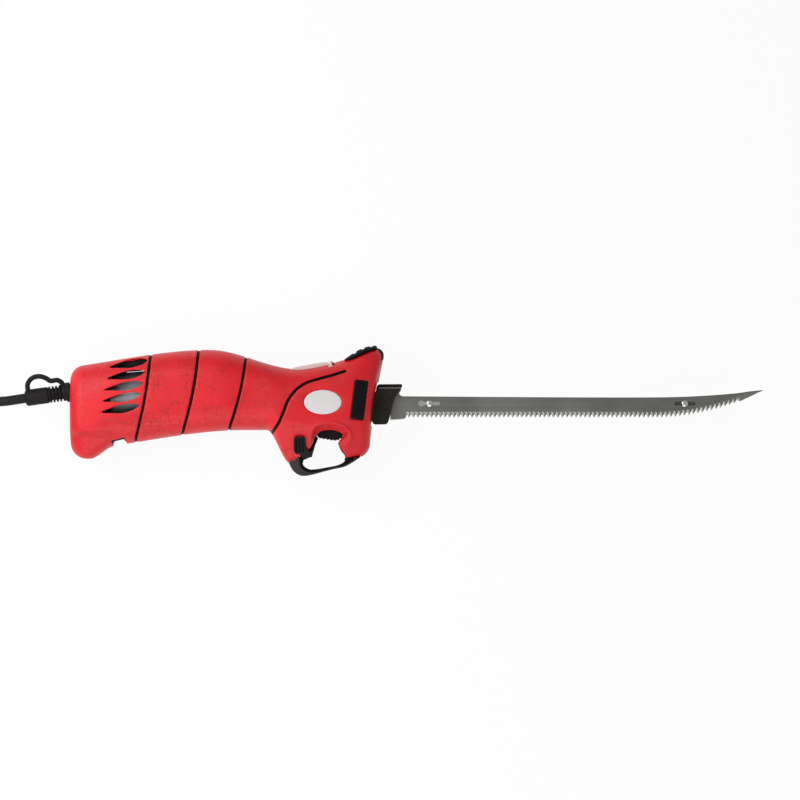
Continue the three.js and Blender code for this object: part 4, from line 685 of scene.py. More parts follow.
def gripSolid(name, inset=0.0, ring=112, spacing=1.1):
    g = gripShape
    arc = np.linspace(0, math.pi / 2, 10)
    rear = g["ends"][0] * (1 - np.cos(arc))
    front = g["length"] - g["ends"][1] * (1 - np.cos(arc[::-1]))
    middle = np.linspace(rear[-1], front[0], int((front[0] - rear[-1]) / spacing))[1:-1]
    base = np.concatenate([rear, middle, front])
    s = inset + base * (g["length"] - 2 * inset) / g["length"]
    top, bottom, width = (movedIn(kind, s, inset) for kind in ("top", "bottom", "width"))
    turn = np.linspace(0, 2 * math.pi, ring, endpoint=False)
    c, d = np.cos(turn), np.sin(turn)
    y = (top + bottom)[:, None] / 2 + (top - bottom)[:, None] / 2 * np.sign(c) * np.abs(c) ** g["power"]
    along = np.repeat(s[:, None], ring, 1)
    reach = width[:, None] * slimAt(along, y) * np.abs(d) ** g["power"]
    reach = softMin(reach, g["half"] - inset, g["blend"])
    return loft(name, np.stack([along + leanAt(along, y), y, np.sign(d) * reach], axis=2))


def sideAt(x, y):
    g = gripShape
    x, y = np.asarray(x, float), np.asarray(y, float)
    s = x.copy()
    for _ in range(12):
        s = x - leanAt(s, y)
    top, bottom, width = lineAt("top", s), lineAt("bottom", s), lineAt("width", s)
    c = np.clip(np.abs((y - (top + bottom) / 2) / ((top - bottom) / 2)), 0, 0.999)
    reach = width * slimAt(s, y) * (1 - c ** (2 / g["power"])) ** (g["power"] / 2)
    return softMin(reach, g["half"], g["blend"])


def closedThrough(points, count):
    pts = np.asarray(points, float)
    wrapped = np.vstack([pts[-2:], pts, pts[:3]])
    steps = 40  # between one point and the next
    line = throughPoints(wrapped, (len(wrapped) - 1) * steps + 1)
    line = line[2 * steps:-2 * steps - 1]
    pick = np.linspace(0, len(line), count, endpoint=False).astype(int)
    return line[pick]


def outset(points, distance):
    pts = np.asarray(points, float)
    before, after = np.roll(pts, 1, axis=0), np.roll(pts, -1, axis=0)
    area = (pts[:, 0] * after[:, 1] - after[:, 0] * pts[:, 1]).sum()
    step = after - before
    step /= np.linalg.norm(step, axis=1)[:, None]
    far = (np.asarray(distance, float) * np.sign(area))[..., None] if np.ndim(distance) else distance * np.sign(area)
    return pts + far * np.c_[step[:, 1], -step[:, 0]]


# finger opening with a rolled rim, and the seam where the guard takes over
fingerShape = {
    "middle": (157.0, -27.0), "from": 11.5, "open": 23.0, "rim": 6.0, "rimFrom": (-10, -4), "rimOver": 8,
    "outline": [(-5.4, 8), (-2.5, 11), (2.6, 12.2), (7.6, 11.7), (11.7, 9.3), (11.1, 7.4), (9.2, 5.1), (9.7, 2.8),
                (11, -0.3), (13.6, -4), (12.6, -7.2), (8.6, -9.6), (2.6, -10.9), (-4.2, -12.1), (-8.5, -12.4),
                (-10.9, -11.6), (-12.9, -9.9), (-13.6, -6.9), (-12.4, -4.4), (-10.9, -1.8), (-8.2, 1.5), (-6.8, 4.2)],
    "seam": [(-29, -12.2), (-13, -3.1), (13, -5.2), (32, -3.4)],
    "guard": [(-22, -7.9), (-19.3, -12.9), (-15.9, -15.6), (-12.6, -16.3), (-7.5, -15.6), (-0.8, -13.8), (5.9, -12.1),
              (12.6, -10.6), (17.7, -7.9), (22.1, -4.9)],
    "liner": [(-4.95, 10), (-4.75, 8.3), (-3.9, 7.1), (-4.4, 5.4), (-5.6, 2.8), (-6.6, -0.9), (-7.5, -4), (-10.4, -5.6),
              (-13.1, -6.6), (-13.1, -8), (-16, -8), (-16, -1), (-9, 7.4)],
    "lining": [(7.5, 4.3), (17, 4.3), (17, -6.5), (7.5, -6.5)],
    "above": [(26, 2), (0, 2), (-26, 2)], "guardHalf": 7.0, "soft": (0.4, 7, 0.5),
    "lip": 1.8, "lipMore": 3.0, "lipFrom": 166.0, "lipOver": 6.0, "rimOut": 0.9,
    "tightHalf": 6.4, "tight": 0.03, "seatGap": (0.04, 1.2), "edgeThick": 2.0, "liningThick": 0.6,
}


def fromFinger(points):
    return np.asarray(points, float) + np.array(fingerShape["middle"])


fingerLine = fromFinger(closedThrough(fingerShape["outline"], 110))


# how much of the rolled rim each point of the opening has: all of it on the arch, none at the guard
def rimShare():
    f = fingerShape
    x, y = (fingerLine - np.array(f["middle"])).T
    return easeStep((x - f["rimFrom"][0]) / f["rimOver"]) * easeStep((y - f["rimFrom"][1]) / f["rimOver"])


def fingerCut(inset):
    f, half = fingerShape, gripShape["half"]
    share = rimShare()
    rings = []
    for z in [-f["open"], *np.linspace(-half, -f["from"], 9), *np.linspace(f["from"], half, 9), f["open"]]:
        t = (abs(z) - f["from"]) / (half - f["from"])
        ring = outset(fingerLine, inset + f["rim"] * share * max(t, 0) ** 0.9)
        rings.append(np.c_[ring, np.full(len(ring), z)])
    return loft("fingerCut", rings)


def fingerHole(inset=0.0):
    return throughCut("hole", outset(fingerLine, -inset) if inset else fingerLine)


def seamCut(rise):
    line = fromFinger(fingerShape["seam"]) + np.array([0, rise])
    return throughCut("seamCut", [*line, (line[-1][0], afar[2]), (line[0][0], afar[2])])


def layerSolid(name, inset):
    return carve(gripSolid(name, inset), fingerCut(inset), seamCut(inset))


# grooves, slit, vents and other openings
openings = {
    "groove": {"x": 50.0, "y": 32.0, "pitch": 29.4, "lean": 0.05, "bow": 0.0024, "bowStep": 0.0007,
               "half": 0.8, "bead": 0.5},
    "slit": {"half": 0.85, "line": [(124.6, -17), (129.3, -10.3), (132.4, -3.3), (135, 3.2), (139.8, 9.7),
                                    (145.9, 14.1), (154.6, 16.9), (162.4, 19), (171.2, 21.9)]},
    "vent": {"count": 5, "x": 36.0, "y": 25.8, "pitch": 7.05, "lean": 10.0, "length": 23.6, "height": 5.4, "tilt": 10.2,
             "tips": 2.4, "deep": 8.0,
             "upper": [(-0.5, 0), (-0.22, 0.57), (0.06, 0.96), (0.29, 0.82), (0.43, 0.42), (0.5, 0.08)],
             "lower": [(0.5, 0.08), (0.42, -0.34), (0.28, -0.78), (0.06, -0.96), (-0.2, -0.52), (-0.5, 0)]},
    "notch": {"x": 30.0, "y": -21.2, "half": 3.5, "rim": 0.9, "tilt": 13.0, "deep": 15.0, "long": 20.0},
    "blade": (177.0, 430.0, -12.4, 14.5, 6.3),
    "trigger": (152.1, 168.9, -24.0, -5.4, 6.3),
    "lock": (139.6, 144.6, -29.7, -21.7, toolReach),
    "cordSeat": (-2.0, 9.9, 5.4),
    "cordFlange": (-2.0, 0.8, 6.4),
    "release": {"x": 137.0, "long": 23.8, "half": 6.4, "proud": 2.2, "sink": 1.2, "deep": 3.5, "over": 30.0,
                "legX": 161.3, "legZ": 9.5, "leg": 1.5, "legFoot": 12.0, "legTop": -2.0, "wing": 0.7,
                "wingSpan": (-2.3, 0.6), "travel": 1.5, "soft": (0.35, 4, 0.4)},
    "thumb": {"half": 14.0, "rise": 1.2, "room": 0.12,
              "edge": [(169, 28.3), (173.9, 29), (178.3, 30.5), (181.8, 32.5), (185.4, 34), (188, 35), (189.6, 35.1)],
              "rim": [(190.9, 34.3), (192.2, 32.2), (192.6, 30.2), (192.3, 28.1)]},
    "badge": {"x": 156.5, "y": 2.4, "long": 23.0, "high": 15.0},
    "plate": {"x": 179.0, "y": 3.7, "long": 8.2, "high": 24.4, "lean": -7.0, "corner": 0.9},
    "trim": {"from": 5.0, "floor": 0.8},
    "screws": [(13, 18.6), (11, -22), (114.5, 22), (183, 23.5), (177.4, -21.4)],
    "screwHole": (9.0, 3.2),
}
grooveSpan = np.linspace(44, -44, 60)  # heights at which a groove's line is taken


def grooveAt(k, y):
    g = openings["groove"]
    down = g["y"] - np.asarray(y, float)
    return g["x"] + k * g["pitch"] - g["lean"] * down - (g["bow"] + g["bowStep"] * k) * down ** 2


def grooveCut(k, half):
    y = grooveSpan
    x = grooveAt(k, y)
    return throughCut("groove", [*zip(x + half, y), *zip(x[::-1] - half, y[::-1])])


def slitCut(half):
    path = throughPoints(openings["slit"]["line"], 160)
    step = np.gradient(path, axis=0)
    step /= np.linalg.norm(step, axis=1)[:, None]
    left = np.linalg.norm(path - path[-1], axis=1)
    wide = half * np.sqrt(np.clip(1 - (1 - np.clip(left / half, 0, 1)) ** 2, 0.01, 1))
    away = np.c_[-step[:, 1], step[:, 0]] * wide[:, None]
    return throughCut("slit", [*(path + away), *(path - away)[::-1]])


# the three grooves and the slit
def lineCuts(inset):
    half = openings["groove"]["half"] - inset
    return [*(grooveCut(k, half) for k in range(3)), slitCut(openings["slit"]["half"] - inset)]


def ventLine(i):
    v = openings["vent"]
    lean = math.radians(v["lean"])
    middle = v["x"] - i * v["pitch"] * math.sin(lean), v["y"] - i * v["pitch"] * math.cos(lean)
    leaf = np.vstack([throughPoints(v["upper"], 16)[:-1], throughPoints(v["lower"], 16)[:-1]])
    return turned(leaf * np.array([v["length"] + v["tips"], v["height"] / 2]), v["tilt"], middle)


def bothSides(name, line, deep):
    return [prism(name, line, deep, toolReach), prism(name, line, -toolReach, -deep)]


def ventCuts():
    v = openings["vent"]
    return [tool for i in range(v["count"]) for tool in bothSides("vent", ventLine(i), v["deep"])]


def ventWindows():
    v = openings["vent"]
    lean, tilt = math.radians(v["lean"]), math.radians(v["tilt"])
    corners = []
    for u, w in ((1, 0), (1, 1), (-1, 1), (-1, 0)):
        along = u * v["length"] / 2
        down = w * (v["count"] - 1) * v["pitch"] + (1 if w else -1) * v["height"] / 2
        corners.append((v["x"] + along * math.cos(tilt) - down * math.sin(lean),
                        v["y"] + along * math.sin(tilt) - down * math.cos(lean)))
    return bothSides("window", corners, v["deep"])


def notchCut(grow):
    n = openings["notch"]
    half, deep = n["half"] + grow, n["deep"] + grow
    line = [(-half, -n["long"]), (half, -n["long"]), (half, grow), (-half, grow)]
    return prism("notch", turned(line, n["tilt"], (n["x"], n["y"])), -deep, deep)


def releaseLine(grow, rise, sink, count=30):
    r = openings["release"]
    x = np.linspace(r["x"] - grow, r["x"] + r["long"] + grow, count)
    bulge = np.sin(np.linspace(0, math.pi, count)) ** 0.6
    top = lineAt("top", x)
    lean = leanAt(x, top)
    return [*zip(x + lean, top + rise * bulge), *zip((x + lean)[::-1], top[::-1] - sink)]


def releaseCuts():
    r = openings["release"]
    tools = [prism("room", releaseLine(fit, r["over"], r["deep"]), -r["half"] - fit, r["half"] + fit)]
    top = float(lineAt("top", r["legX"]))
    x, half, thin = r["legX"], r["leg"] + fit, r["wing"] + fit
    wingFoot = top + r["wingSpan"][0] - r["travel"] - fit
    for side in (1, -1):
        inner, outer = side * (r["legZ"] - half), side * (r["legZ"] + half)
        tools.append(block("wing", x - thin, x + thin, wingFoot, top + r["over"], 0, outer))
        tools.append(block("leg", x - half, x + half, r["legFoot"] - r["travel"], top + 1, inner, outer))
    return tools


def cordBar(name, u0, u1, radius, sides=48):
    turn = np.linspace(0, 2 * math.pi, sides, endpoint=False)
    axis = math.radians(cordSetup["drop"])
    rings = []
    for u in (u0, u1):
        middle = np.array(onCordAxis(u))
        rings.append(middle + radius * (np.outer(np.cos(turn), [-math.sin(axis), math.cos(axis), 0])
                                        + np.outer(np.sin(turn), [0, 0, 1])))
    return loft(name, rings)


def boxCut(key):
    x0, x1, y0, y1, half = openings[key]
    return block(key, x0, x1, y0, y1, -half, half)


def badgeLine(grow=0.0, count=72):
    b = openings["badge"]
    half = np.array([b["long"] / 2 + grow, b["high"] / 2 + grow])
    return circle(0, 0, 1, count) * half + np.array([b["x"], b["y"]])


def plateLine(grow=0.0):
    p = openings["plate"]
    a, b = p["long"] / 2 + grow, p["high"] / 2 + grow
    return turned(roundedBox(-a, a, -b, b, p["corner"] + grow, 6), p["lean"], (p["x"], p["y"]))


def thumbLines():
    t = openings["thumb"]
    edge = throughPoints(t["edge"], 40)
    rim = throughPoints([*t["edge"][-2:], *t["rim"]], 40)
    pad = [*edge, (edge[-1][0] + 1, 80), (edge[0][0], 80)]
    cap = [*rim, (260, rim[-1][1]), (260, 80), (rim[0][0], 80)]
    return pad, cap


def thumbRooms():
    t = openings["thumb"]
    half = t["half"] + fit
    return [prism("thumbRoom", outset(line, t["room"]), -half, half) for line in thumbLines()]


# what the red skin and the black housing both make way for
def sharedCuts():
    deep, radius = openings["screwHole"]
    tools = [boxCut("blade"), boxCut("trigger"), boxCut("lock"), *releaseCuts()]
    tools += [cordBar("cordRoom", *openings[key]) for key in ("cordSeat", "cordFlange")]
    return tools + [rod("screwHole", x, y, -toolReach, -deep, radius) for x, y in openings["screws"]]


# rolled lip along the arch of the finger opening
rollSetup = {"radius": 0.85, "sink": 0.4, "from": 0.35, "out": 0.8, "taper": 2.5, "thinnest": 0.15, "flush": 0.05,
             "sides": 16}


def fingerRolls():
    r, share = rollSetup, rimShare()
    ring = outset(fingerLine, fingerShape["rim"] * share * r["out"])
    start = int(np.argmin(share))
    order = [(start + i) % len(ring) for i in range(len(ring))]
    order = [i for i in order if share[i] > r["from"]]
    path = ring[order]
    thin = r["radius"] * np.clip(np.sin(np.linspace(0, math.pi, len(path))) * r["taper"], r["thinnest"], 1)
    high = sideAt(path[:, 0], path[:, 1]) - r["sink"]
    flush = np.minimum(high, gripShape["half"] - thin - r["flush"])  # the far side lies on the floor
    return [swept("roll", np.c_[path, high], thin, r["sides"]), swept("roll", np.c_[path, -flush], thin, r["sides"])]


# red fields: one moulded skin, cut through by every opening and parted at the grooves and the seam
fieldSetup = {"skin": 1.6, "seam": 0.15, "rounds": 2,
              "names": ("rear_grip", "rear_band", "front_band", "head_grip"),
              "voxel": (0.4, 0.5, 0.5, 0.45), "keep": (0.16, 0.25, 0.25, 0.18)}


def makeFields():
    f = fieldSetup
    field = carve(layerSolid("field", 0.0), layerSolid("fieldInside", f["skin"]))
    tools = [*lineCuts(0), *ventCuts(), notchCut(openings["notch"]["rim"]), *sharedCuts(), *thumbRooms()]
    for line in (badgeLine(fit), plateLine(fit)):
        under = gripSolid("trimFloor", openings["trim"]["floor"], 80, 2.0)
        tools.append(carve(prism("trimRoom", line, openings["trim"]["from"], toolReach), under))
    carve(field, *fingerRolls(), how="UNION")
    carve(field, *tools)
    y = grooveSpan
    for side, name in ((1, "right"), (-1, "left")):
        for k, part in enumerate(f["names"]):
            back = np.full(len(y), afar[0]) if k == 0 else grooveAt(k - 1, y)
            front = np.full(len(y), afar[1]) if k == 3 else grooveAt(k, y)
            line = [*zip(front, y), *zip(back[::-1], y[::-1])]
            zone = prism("zone", line, *sorted((side * f["seam"], side * toolReach)))
            piece = carve(twin(field, "piece"), zone, how="INTERSECT")
            soften(piece, f["voxel"][k], f["rounds"], f["keep"][k])
            node = name + "_" + part
            place(piece, node + "_skin", "redGrip", "housing", [node], "red")
    drop(field)


makeFields()
print("red fields made")

# black housing: the carried-over halves trimmed to the fine outside, with a smooth layer over them
shellSetup = {"under": 1.9, "floor": 2.8, "beadFoot": 2.4}


def cadSolid(node, name):
    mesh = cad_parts[node].data.copy()
    flat = np.zeros(len(mesh.vertices) * 3)
    mesh.vertices.foreach_get("co", flat)
    mesh.vertices.foreach_set("co", (flat.reshape(-1, 3) * 1000 + drawnOrigin).ravel())
    form = bmesh.new()
    form.from_mesh(mesh)
    bmesh.ops.remove_doubles(form, verts=form.verts, dist=0.002)
    form.to_mesh(mesh)
    form.free()
    obj = bpy.data.objects.new(name, mesh)
    scene.collection.objects.link(obj)
    return obj


def makeShells():
    fine = layerSolid("fine", shellSetup["under"])
    layer = carve(twin(fine, "layer"), layerSolid("layerInside", shellSetup["floor"]))
    carve(layer, *ventWindows(), notchCut(0), *sharedCuts())
    bead = carve(layerSolid("bead", openings["groove"]["bead"]), layerSolid("beadFloor", shellSetup["beadFoot"]))
    bands = lineCuts(fit)
    carve(bead, carve(bands[0], *bands[1:], how="UNION"), how="INTERSECT")
    carve(layer, bead, how="UNION")
    for side, name in ((1, "right"), (-1, "left")):
        sideBox = block("side", *afar, side * fieldSetup["seam"], side * toolReach)
        half = carve(twin(layer, "half"), sideBox, how="INTERSECT")
        inner = carve(cadSolid(name + "_shell", "inner"), fine, how="INTERSECT", keep=True)
        carve(half, inner, how="UNION")
        place(half, name + "_shell_body", "blackNylon", "housing", [name + "_shell"], "black", sharp=32)
    drop(layer)
    drop(fine)


makeShells()
print("housing made")


# guard: rounded strap under the finger opening, and the liner up its back
def makeGuard():
    f = fingerShape
    line = throughPoints(f["guard"], 60)
    whole = fromFinger([*line, *f["above"]])
    half, tight = f["guardHalf"], f["tightHalf"]
    strap = carve(prism("guard", whole, -half, half), seamCut(-fit), how="INTERSECT")
    carve(strap, fingerHole())
    liner = prism("liner", fromFinger(f["liner"]), -half, half)
    low = carve(twin(liner, "low"), seamCut(-fit), how="INTERSECT")
    carve(liner, fingerHole(fit), how="INTERSECT")
    carve(strap, liner, low, how="UNION")
    soften(strap, *f["soft"])
    # thin strips that close the fine gaps which the softening leaves
    near, deep = f["seatGap"]
    seat = carve(prism("seat", whole, -tight, tight), seamCut(-near), how="INTERSECT")
    strips = [carve(seat, seamCut(-deep), fingerHole())]
    for key, thick in (("liner", f["edgeThick"]), ("lining", f["liningThick"])):
        strip = carve(prism("strip", fromFinger(f[key]), -tight, tight), fingerHole(f["tight"]), how="INTERSECT")
        strips.append(carve(strip, fingerHole(thick)))
    carve(strap, *strips, how="UNION")
    # black along the opening, grey outside
    middles = np.array([face.center[:2] for face in strap.data.polygons])
    inside, outside = (np.min(np.linalg.norm(middles[:, None] - edge[None], axis=2), axis=1)
                       for edge in (fingerLine, fromFinger(line)))
    lip = f["lip"] + f["lipMore"] * easeStep((middles[:, 0] - f["lipFrom"]) / f["lipOver"])
    marks = ((inside < lip) & (outside > f["rimOut"])).astype(int)
    place(strap, "triggerGuard", "guardNylon", "housing", ["trigger_guard"], "black", extra=("blackNylon",),
          marks=marks)


makeGuard()

# thumb rest: pad with three valleys over the horn, and its thin rim round the nose tip
thumbSetup = {"valleys": (175.6, 180.8, 186.0), "radius": 1.3, "lift": 0.45, "web": 1.6, "webIn": 0.7, "webHalf": 0.1,
              "ring": 120, "spacing": 0.8, "soft": (0.3, 2, 0.5),
              "start": [(165, 28.0), (168.6, 28.0), (171.2, 30.0), (175.2, 32.9), (178.0, 35.2), (181.0, 37.4),
                        (181.0, 50), (165, 50)]}


def stationAt(x):
    s = np.array(float(x))
    for _ in range(14):
        s = x - leanAt(s, lineAt("top", s))
    return s


def makeThumbRest():
    t, u = openings["thumb"], thumbSetup
    fine = u["ring"], u["spacing"]
    half, past = t["half"], t["half"] + 1
    lines = thumbLines()
    pad, cap = (carve(gripSolid("thumb", inset, *fine), prism("zone", line, -half, half), how="INTERSECT")
                for inset, line in zip((-t["rise"], 0.0), lines))
    carve(pad, cap, how="UNION")
    carve(pad, gripSolid("under", fieldSetup["skin"]))
    for x in u["valleys"]:
        y = float(lineAt("top", stationAt(x))) + t["rise"] + u["lift"]
        carve(pad, rod("valley", x, y, -past, past, u["radius"], 24))
    carve(pad, prism("start", u["start"], -past, past))
    soften(pad, *u["soft"])
    under = gripSolid("web", u["webIn"], *fine)  # a thin web in the seam closes the gap beside the rim
    for line in lines:
        web = prism("web", outset(line, u["web"]), -u["webHalf"], u["webHalf"])
        carve(pad, carve(web, under, how="INTERSECT", keep=True), how="UNION")
    drop(under)
    place(pad, "thumbRest", "padRubber", "housing", ["thumb_rest"], "rubber")


makeThumbRest()


# release button: pale pad in the saddle on two legs
def makeRelease():
    r = openings["release"]
    pad = prism("release", releaseLine(0, r["proud"], r["sink"]), -r["half"], r["half"])
    x, top = r["legX"], float(lineAt("top", r["legX"]))
    wingLow, wingHigh = (top + y for y in r["wingSpan"])
    for side in (1, -1):
        inner, outer = side * (r["legZ"] - r["leg"]), side * (r["legZ"] + r["leg"])
        wing = block("wing", x - r["wing"], x + r["wing"], wingLow, wingHigh, side * (r["half"] - 1), outer)
        leg = block("leg", x - r["leg"], x + r["leg"], r["legFoot"], top + r["legTop"], inner, outer)
        carve(pad, wing, leg, how="UNION")
    soften(pad, *r["soft"])
    place(pad, "releaseButton", "palePad", "release", ["release_button"], "pale")


makeRelease()

# trigger: ribbed crescent on its tongue
triggerSetup = {"half": 6.0, "top": -13.2, "ribs": (155.4, 157.8, 160.2, 162.6, 165.0, 167.0), "rib": 0.75,
                "ribSink": 0.25, "tongue": (128.0, 154.0, -18.0, -15.4, 4.0), "soft": (0.3, 3, 0.4),
                "line": [(152.5, -16.6), (152.7, -18.4), (153.7, -19.6), (155.4, -20.3), (158, -20.7), (160.6, -21.2),
                         (163.4, -21.5), (165.8, -21.2), (167.4, -20.3), (168.3, -18.9), (168.5, -16.8)]}


def makeTrigger():
    t = triggerSetup
    line = throughPoints(t["line"], 50)
    pad = prism("trigger", [*line, (line[-1][0], t["top"]), (line[0][0], t["top"])], -t["half"], t["half"])
    for x in t["ribs"]:
        y = float(np.interp(x, line[:, 0], line[:, 1]))
        carve(pad, rod("rib", x, y - t["ribSink"], -10, 10, t["rib"], 20))
    x0, x1, y0, y1, half = t["tongue"]
    carve(pad, block("tongue", x0, x1, y0, y1, -half, half), how="UNION")
    soften(pad, *t["soft"])
    place(pad, "fingerTrigger", "softRubber", "trigger", ["trigger"], "rubber")


makeTrigger()

# safety lock: a ribbed slider on each side of the post, joined through it
lockSetup = {"x": 142.1, "y": -24.2, "long": 7.4, "high": 10.7, "corner": 2.2, "proud": 2.6, "low": 1.5, "clear": 0.4,
             "ribs": (-1.9, 0.0, 1.9), "rib": 0.45, "ribIn": 1.2, "bar": 2.2, "barOut": 0.8, "nubFrom": 8.0,
             "nub": [(-0.6, 0), (2.4, -3.4), (7.8, -1.8), (7.4, 0.6), (3.7, 3.6)], "soft": (0.3, 5, 0.4)}


def makeLock():
    k = lockSetup
    x, y, a, b = k["x"], k["y"], k["long"] / 2, k["high"] / 2
    shape = throughCut("lock", roundedBox(x - a, x + a, y - b, y + b, k["corner"], 7))
    nub = np.array(k["nub"]) + np.array([x, y - b])
    carve(shape, prism("nub", nub, k["nubFrom"], toolReach), how="UNION")
    low, high = y - b + k["ribIn"], y + b - k["ribIn"]
    ribs = [block("rib", x + u - k["rib"], x + u + k["rib"], low, high, -toolReach, toolReach) for u in k["ribs"]]
    slots = carve(ribs[0], *ribs[1:], how="UNION")
    carve(slots, gripSolid("slotFloor", -k["low"]))
    carve(shape, gripSolid("outer", -k["proud"]), how="INTERSECT")
    carve(shape, slots, gripSolid("inner", -k["clear"]))
    bar = block("bar", x - k["bar"], x + k["bar"], y - k["bar"], y + k["bar"], -toolReach, toolReach)
    carve(shape, carve(bar, gripSolid("reach", -k["barOut"]), how="INTERSECT"), how="UNION")
    soften(shape, *k["soft"])
    place(shape, "safetyLock", "lockNylon", "lock", ["safety_lock"], "black")


makeLock()
print("guard, thumb rest and controls made")


# badge and plate: thin trim that follows the side of the head, from the middle out and under
trimSetup = {"proud": 0.3, "deep": 0.5, "dome": [(0.35, 0.9), (0.7, 0.55), (0.9, 0.18)],
             "edge": [(0.955, 0.0), (0.985, -0.12), (1.0, -0.32)], "under": (1.0, 0.5)}


def trimPiece(name, line, finish, node, slot, dome):
    t, middle = trimSetup, line.mean(0)
    rows = [(share, t["proud"] + dome * rise) for share, rise in t["dome"]]
    rows += [(share, t["proud"] + rise) for share, rise in t["edge"]] + [(share, -t["deep"]) for share in t["under"]]
    rings = []
    for share, rise in rows:
        ring = middle + share * (line - middle)
        rings.append(np.c_[ring, sideAt(ring[:, 0], ring[:, 1]) + rise])
    place(loft(name, rings), name, finish, "housing", [node], slot, sharp=40)


trimPiece("badgePlate", badgeLine(), "badgeFace", "badge", "pale", 0.25)
trimPiece("frontPlate", plateLine(), "plateInk", "front_plate", "black", 0.05)

# blades: ground teeth, satin flats, a run slot in the right one for the rivets
bladeSetup = {"inner": 0.15, "thick": 1.0, "heel": 198.0, "tooth": 208.0, "pitch": 2.8, "tall": 2.6, "line": -7.5,
              "belly": 362.0, "end": 413.0, "endY": 2.3, "tip": (429.6, 9.9), "tang": (170.5, 4.6),
              "rake": 0.58, "curl": 0.85, "fadeOver": 8, "fadeTo": 0.62, "step": 0.2, "lead": 0.7,
              "rivets": (222.4, 380.6), "rivetY": 1.5, "slotHalf": 1.15, "run": 5.3, "key": 1.9, "bore": 1.6,
              "heelLine": [(198, -8.7), (203, -8.5), (206.4, -8.0), (207.3, -7.6), (208.2, -4.9)],
              "grind": 1.2, "heelGrind": -7.9,
              "shoulder": [(189.8, 3), (190.6, 11.2), (191.0, 11.7), (204.2, 11.7), (204.9, 11.2), (204.8, 10.2),
                           (203.7, 8.3), (203.6, 7.4), (204.3, 6.6), (205.6, 6.0), (205.6, 3)],
              "spine": [(198, 6.3), (205.2, 6.1), (350, 5.3), (376, 5.6), (390, 6.2), (402, 7), (414.8, 8.2),
                        (420.8, 9.1), (429.6, 9.9)],
              "ground": [(0.0, 0.16), (0.35, 0.5), (0.7, 0.8), (1.0, 0.985)],
              "flat": [(0.04, 1.0), (0.25, 1.0), (0.5, 1.0), (0.75, 1.0), (0.93, 1.0), (1.0, 0.78)],
              "finishes": ("bladeSteel", "groundSteel", "polishedSteelAndPaintedReflection", "shadedSteel")}


def bladeEdge(x):
    b = bladeSetup
    base = b["line"] + (b["endY"] - b["line"]) * np.maximum((x - b["belly"]) / (b["end"] - b["belly"]), 0) ** 2
    count = math.floor((b["end"] - b["tooth"]) / b["pitch"])
    at = (x - b["tooth"]) / b["pitch"] - 0.5
    fade = 1 - easeStep((at - count + b["fadeOver"]) / b["fadeOver"])
    deep = b["tall"] * (b["fadeTo"] + (1 - b["fadeTo"]) * fade)
    phase = at - np.floor(at)
    rake = np.where(phase < b["rake"], phase / b["rake"], (1 - phase) / (1 - b["rake"]))
    y = base + deep * np.clip(rake, 0, 1) ** b["curl"]
    heelX, heelY = np.transpose(b["heelLine"])
    y = np.where(x < heelX[-1], np.interp(x, heelX, heelY), y)
    last = b["tooth"] + count * b["pitch"]
    tipX, tipY = b["tip"]
    run = np.interp(x, [last, b["end"] + 1.6, tipX], [b["endY"] + 1.5, b["endY"] + 0.55, tipY])
    return np.where(x > last, run, y), base


def slotCut(x, y, run, half):
    turn = np.linspace(-math.pi / 2, math.pi / 2, 14)
    return prism("slot", [*zip(x + run + half * np.cos(turn), y + half * np.sin(turn)),
                          *zip(x - run - half * np.cos(turn), y - half * np.sin(turn))], -2, 8)


# rows run from the edge to the spine over the outer face, then the two edges of the flat inner face
def bladeSolid(side):
    b = bladeSetup
    tipX = b["tip"][0]
    start = b["tooth"] - b["lead"]
    x = np.concatenate([np.linspace(b["heel"], start - b["step"], 12), np.arange(start, b["end"] + 3, b["step"]),
                        np.linspace(b["end"] + 3.2, tipX - 0.02, 60)])
    low, base = bladeEdge(x)
    spine = throughPoints(b["spine"], 400)
    high = np.maximum(np.interp(x, spine[:, 0], spine[:, 1]), low + 0.05)
    grind = np.where(x < start, b["heelGrind"], np.minimum(base + b["tall"] + b["grind"], high - 0.9))
    grind = np.clip(grind, low + 0.02, np.maximum(high - 0.02, low + 0.02))
    rows = [(low + f * (grind - low), share) for f, share in b["ground"]]
    rows += [(grind + f * (high - grind), share) for f, share in b["flat"]]
    count, points, faces, marks = len(x), [], [], []
    for y, share in rows:
        thick = np.minimum(b["thick"] * share, 0.12 + 0.5 * np.maximum(high - low, 0))
        points += [*zip(x, y, side * (b["inner"] + thick))]
    back, top = len(points), (len(rows) - 1) * count
    for y in (low, high):
        points += [*zip(x, y, np.full(count, side * b["inner"]))]

    def strip(lower, upper, mark):  # mark names the finish, for each place along the blade
        for i in range(count - 1):
            faces.append((lower + i, lower + i + 1, upper + i + 1, upper + i)[::side])
            marks.append(mark[i])
    flat, ground = np.zeros(count, int), np.ones(count, int)
    for r in range(len(rows) - 1):
        strip(r * count, (r + 1) * count, ground if r < len(b["ground"]) - 1 else flat)
    inside = np.where(x < b["belly"], 2, 3) if side < 0 else flat  # the left blade's inner face, seen through the slots of the right blade: brighter polished steel near the heel as painted reflection, darker shaded steel towards the tip as painted shade
    strip(back + count, back, inside)
    strip(back, 0, ground)
    strip(top, back + count, flat)
    for k, turn in ((0, side), (count - 1, -side)):
        ends = [back + k, *(r * count + k for r in range(len(rows))), back + count + k]
        faces.append(tuple(ends[::turn]))
        marks.append(0)
    blade = solidOf("blade", points, faces)
    for finish in b["finishes"]:
        blade.data.materials.append(makeFinish(finish))
    blade.data.polygons.foreach_set("material_index", marks)
    faceOut(blade)
    return blade


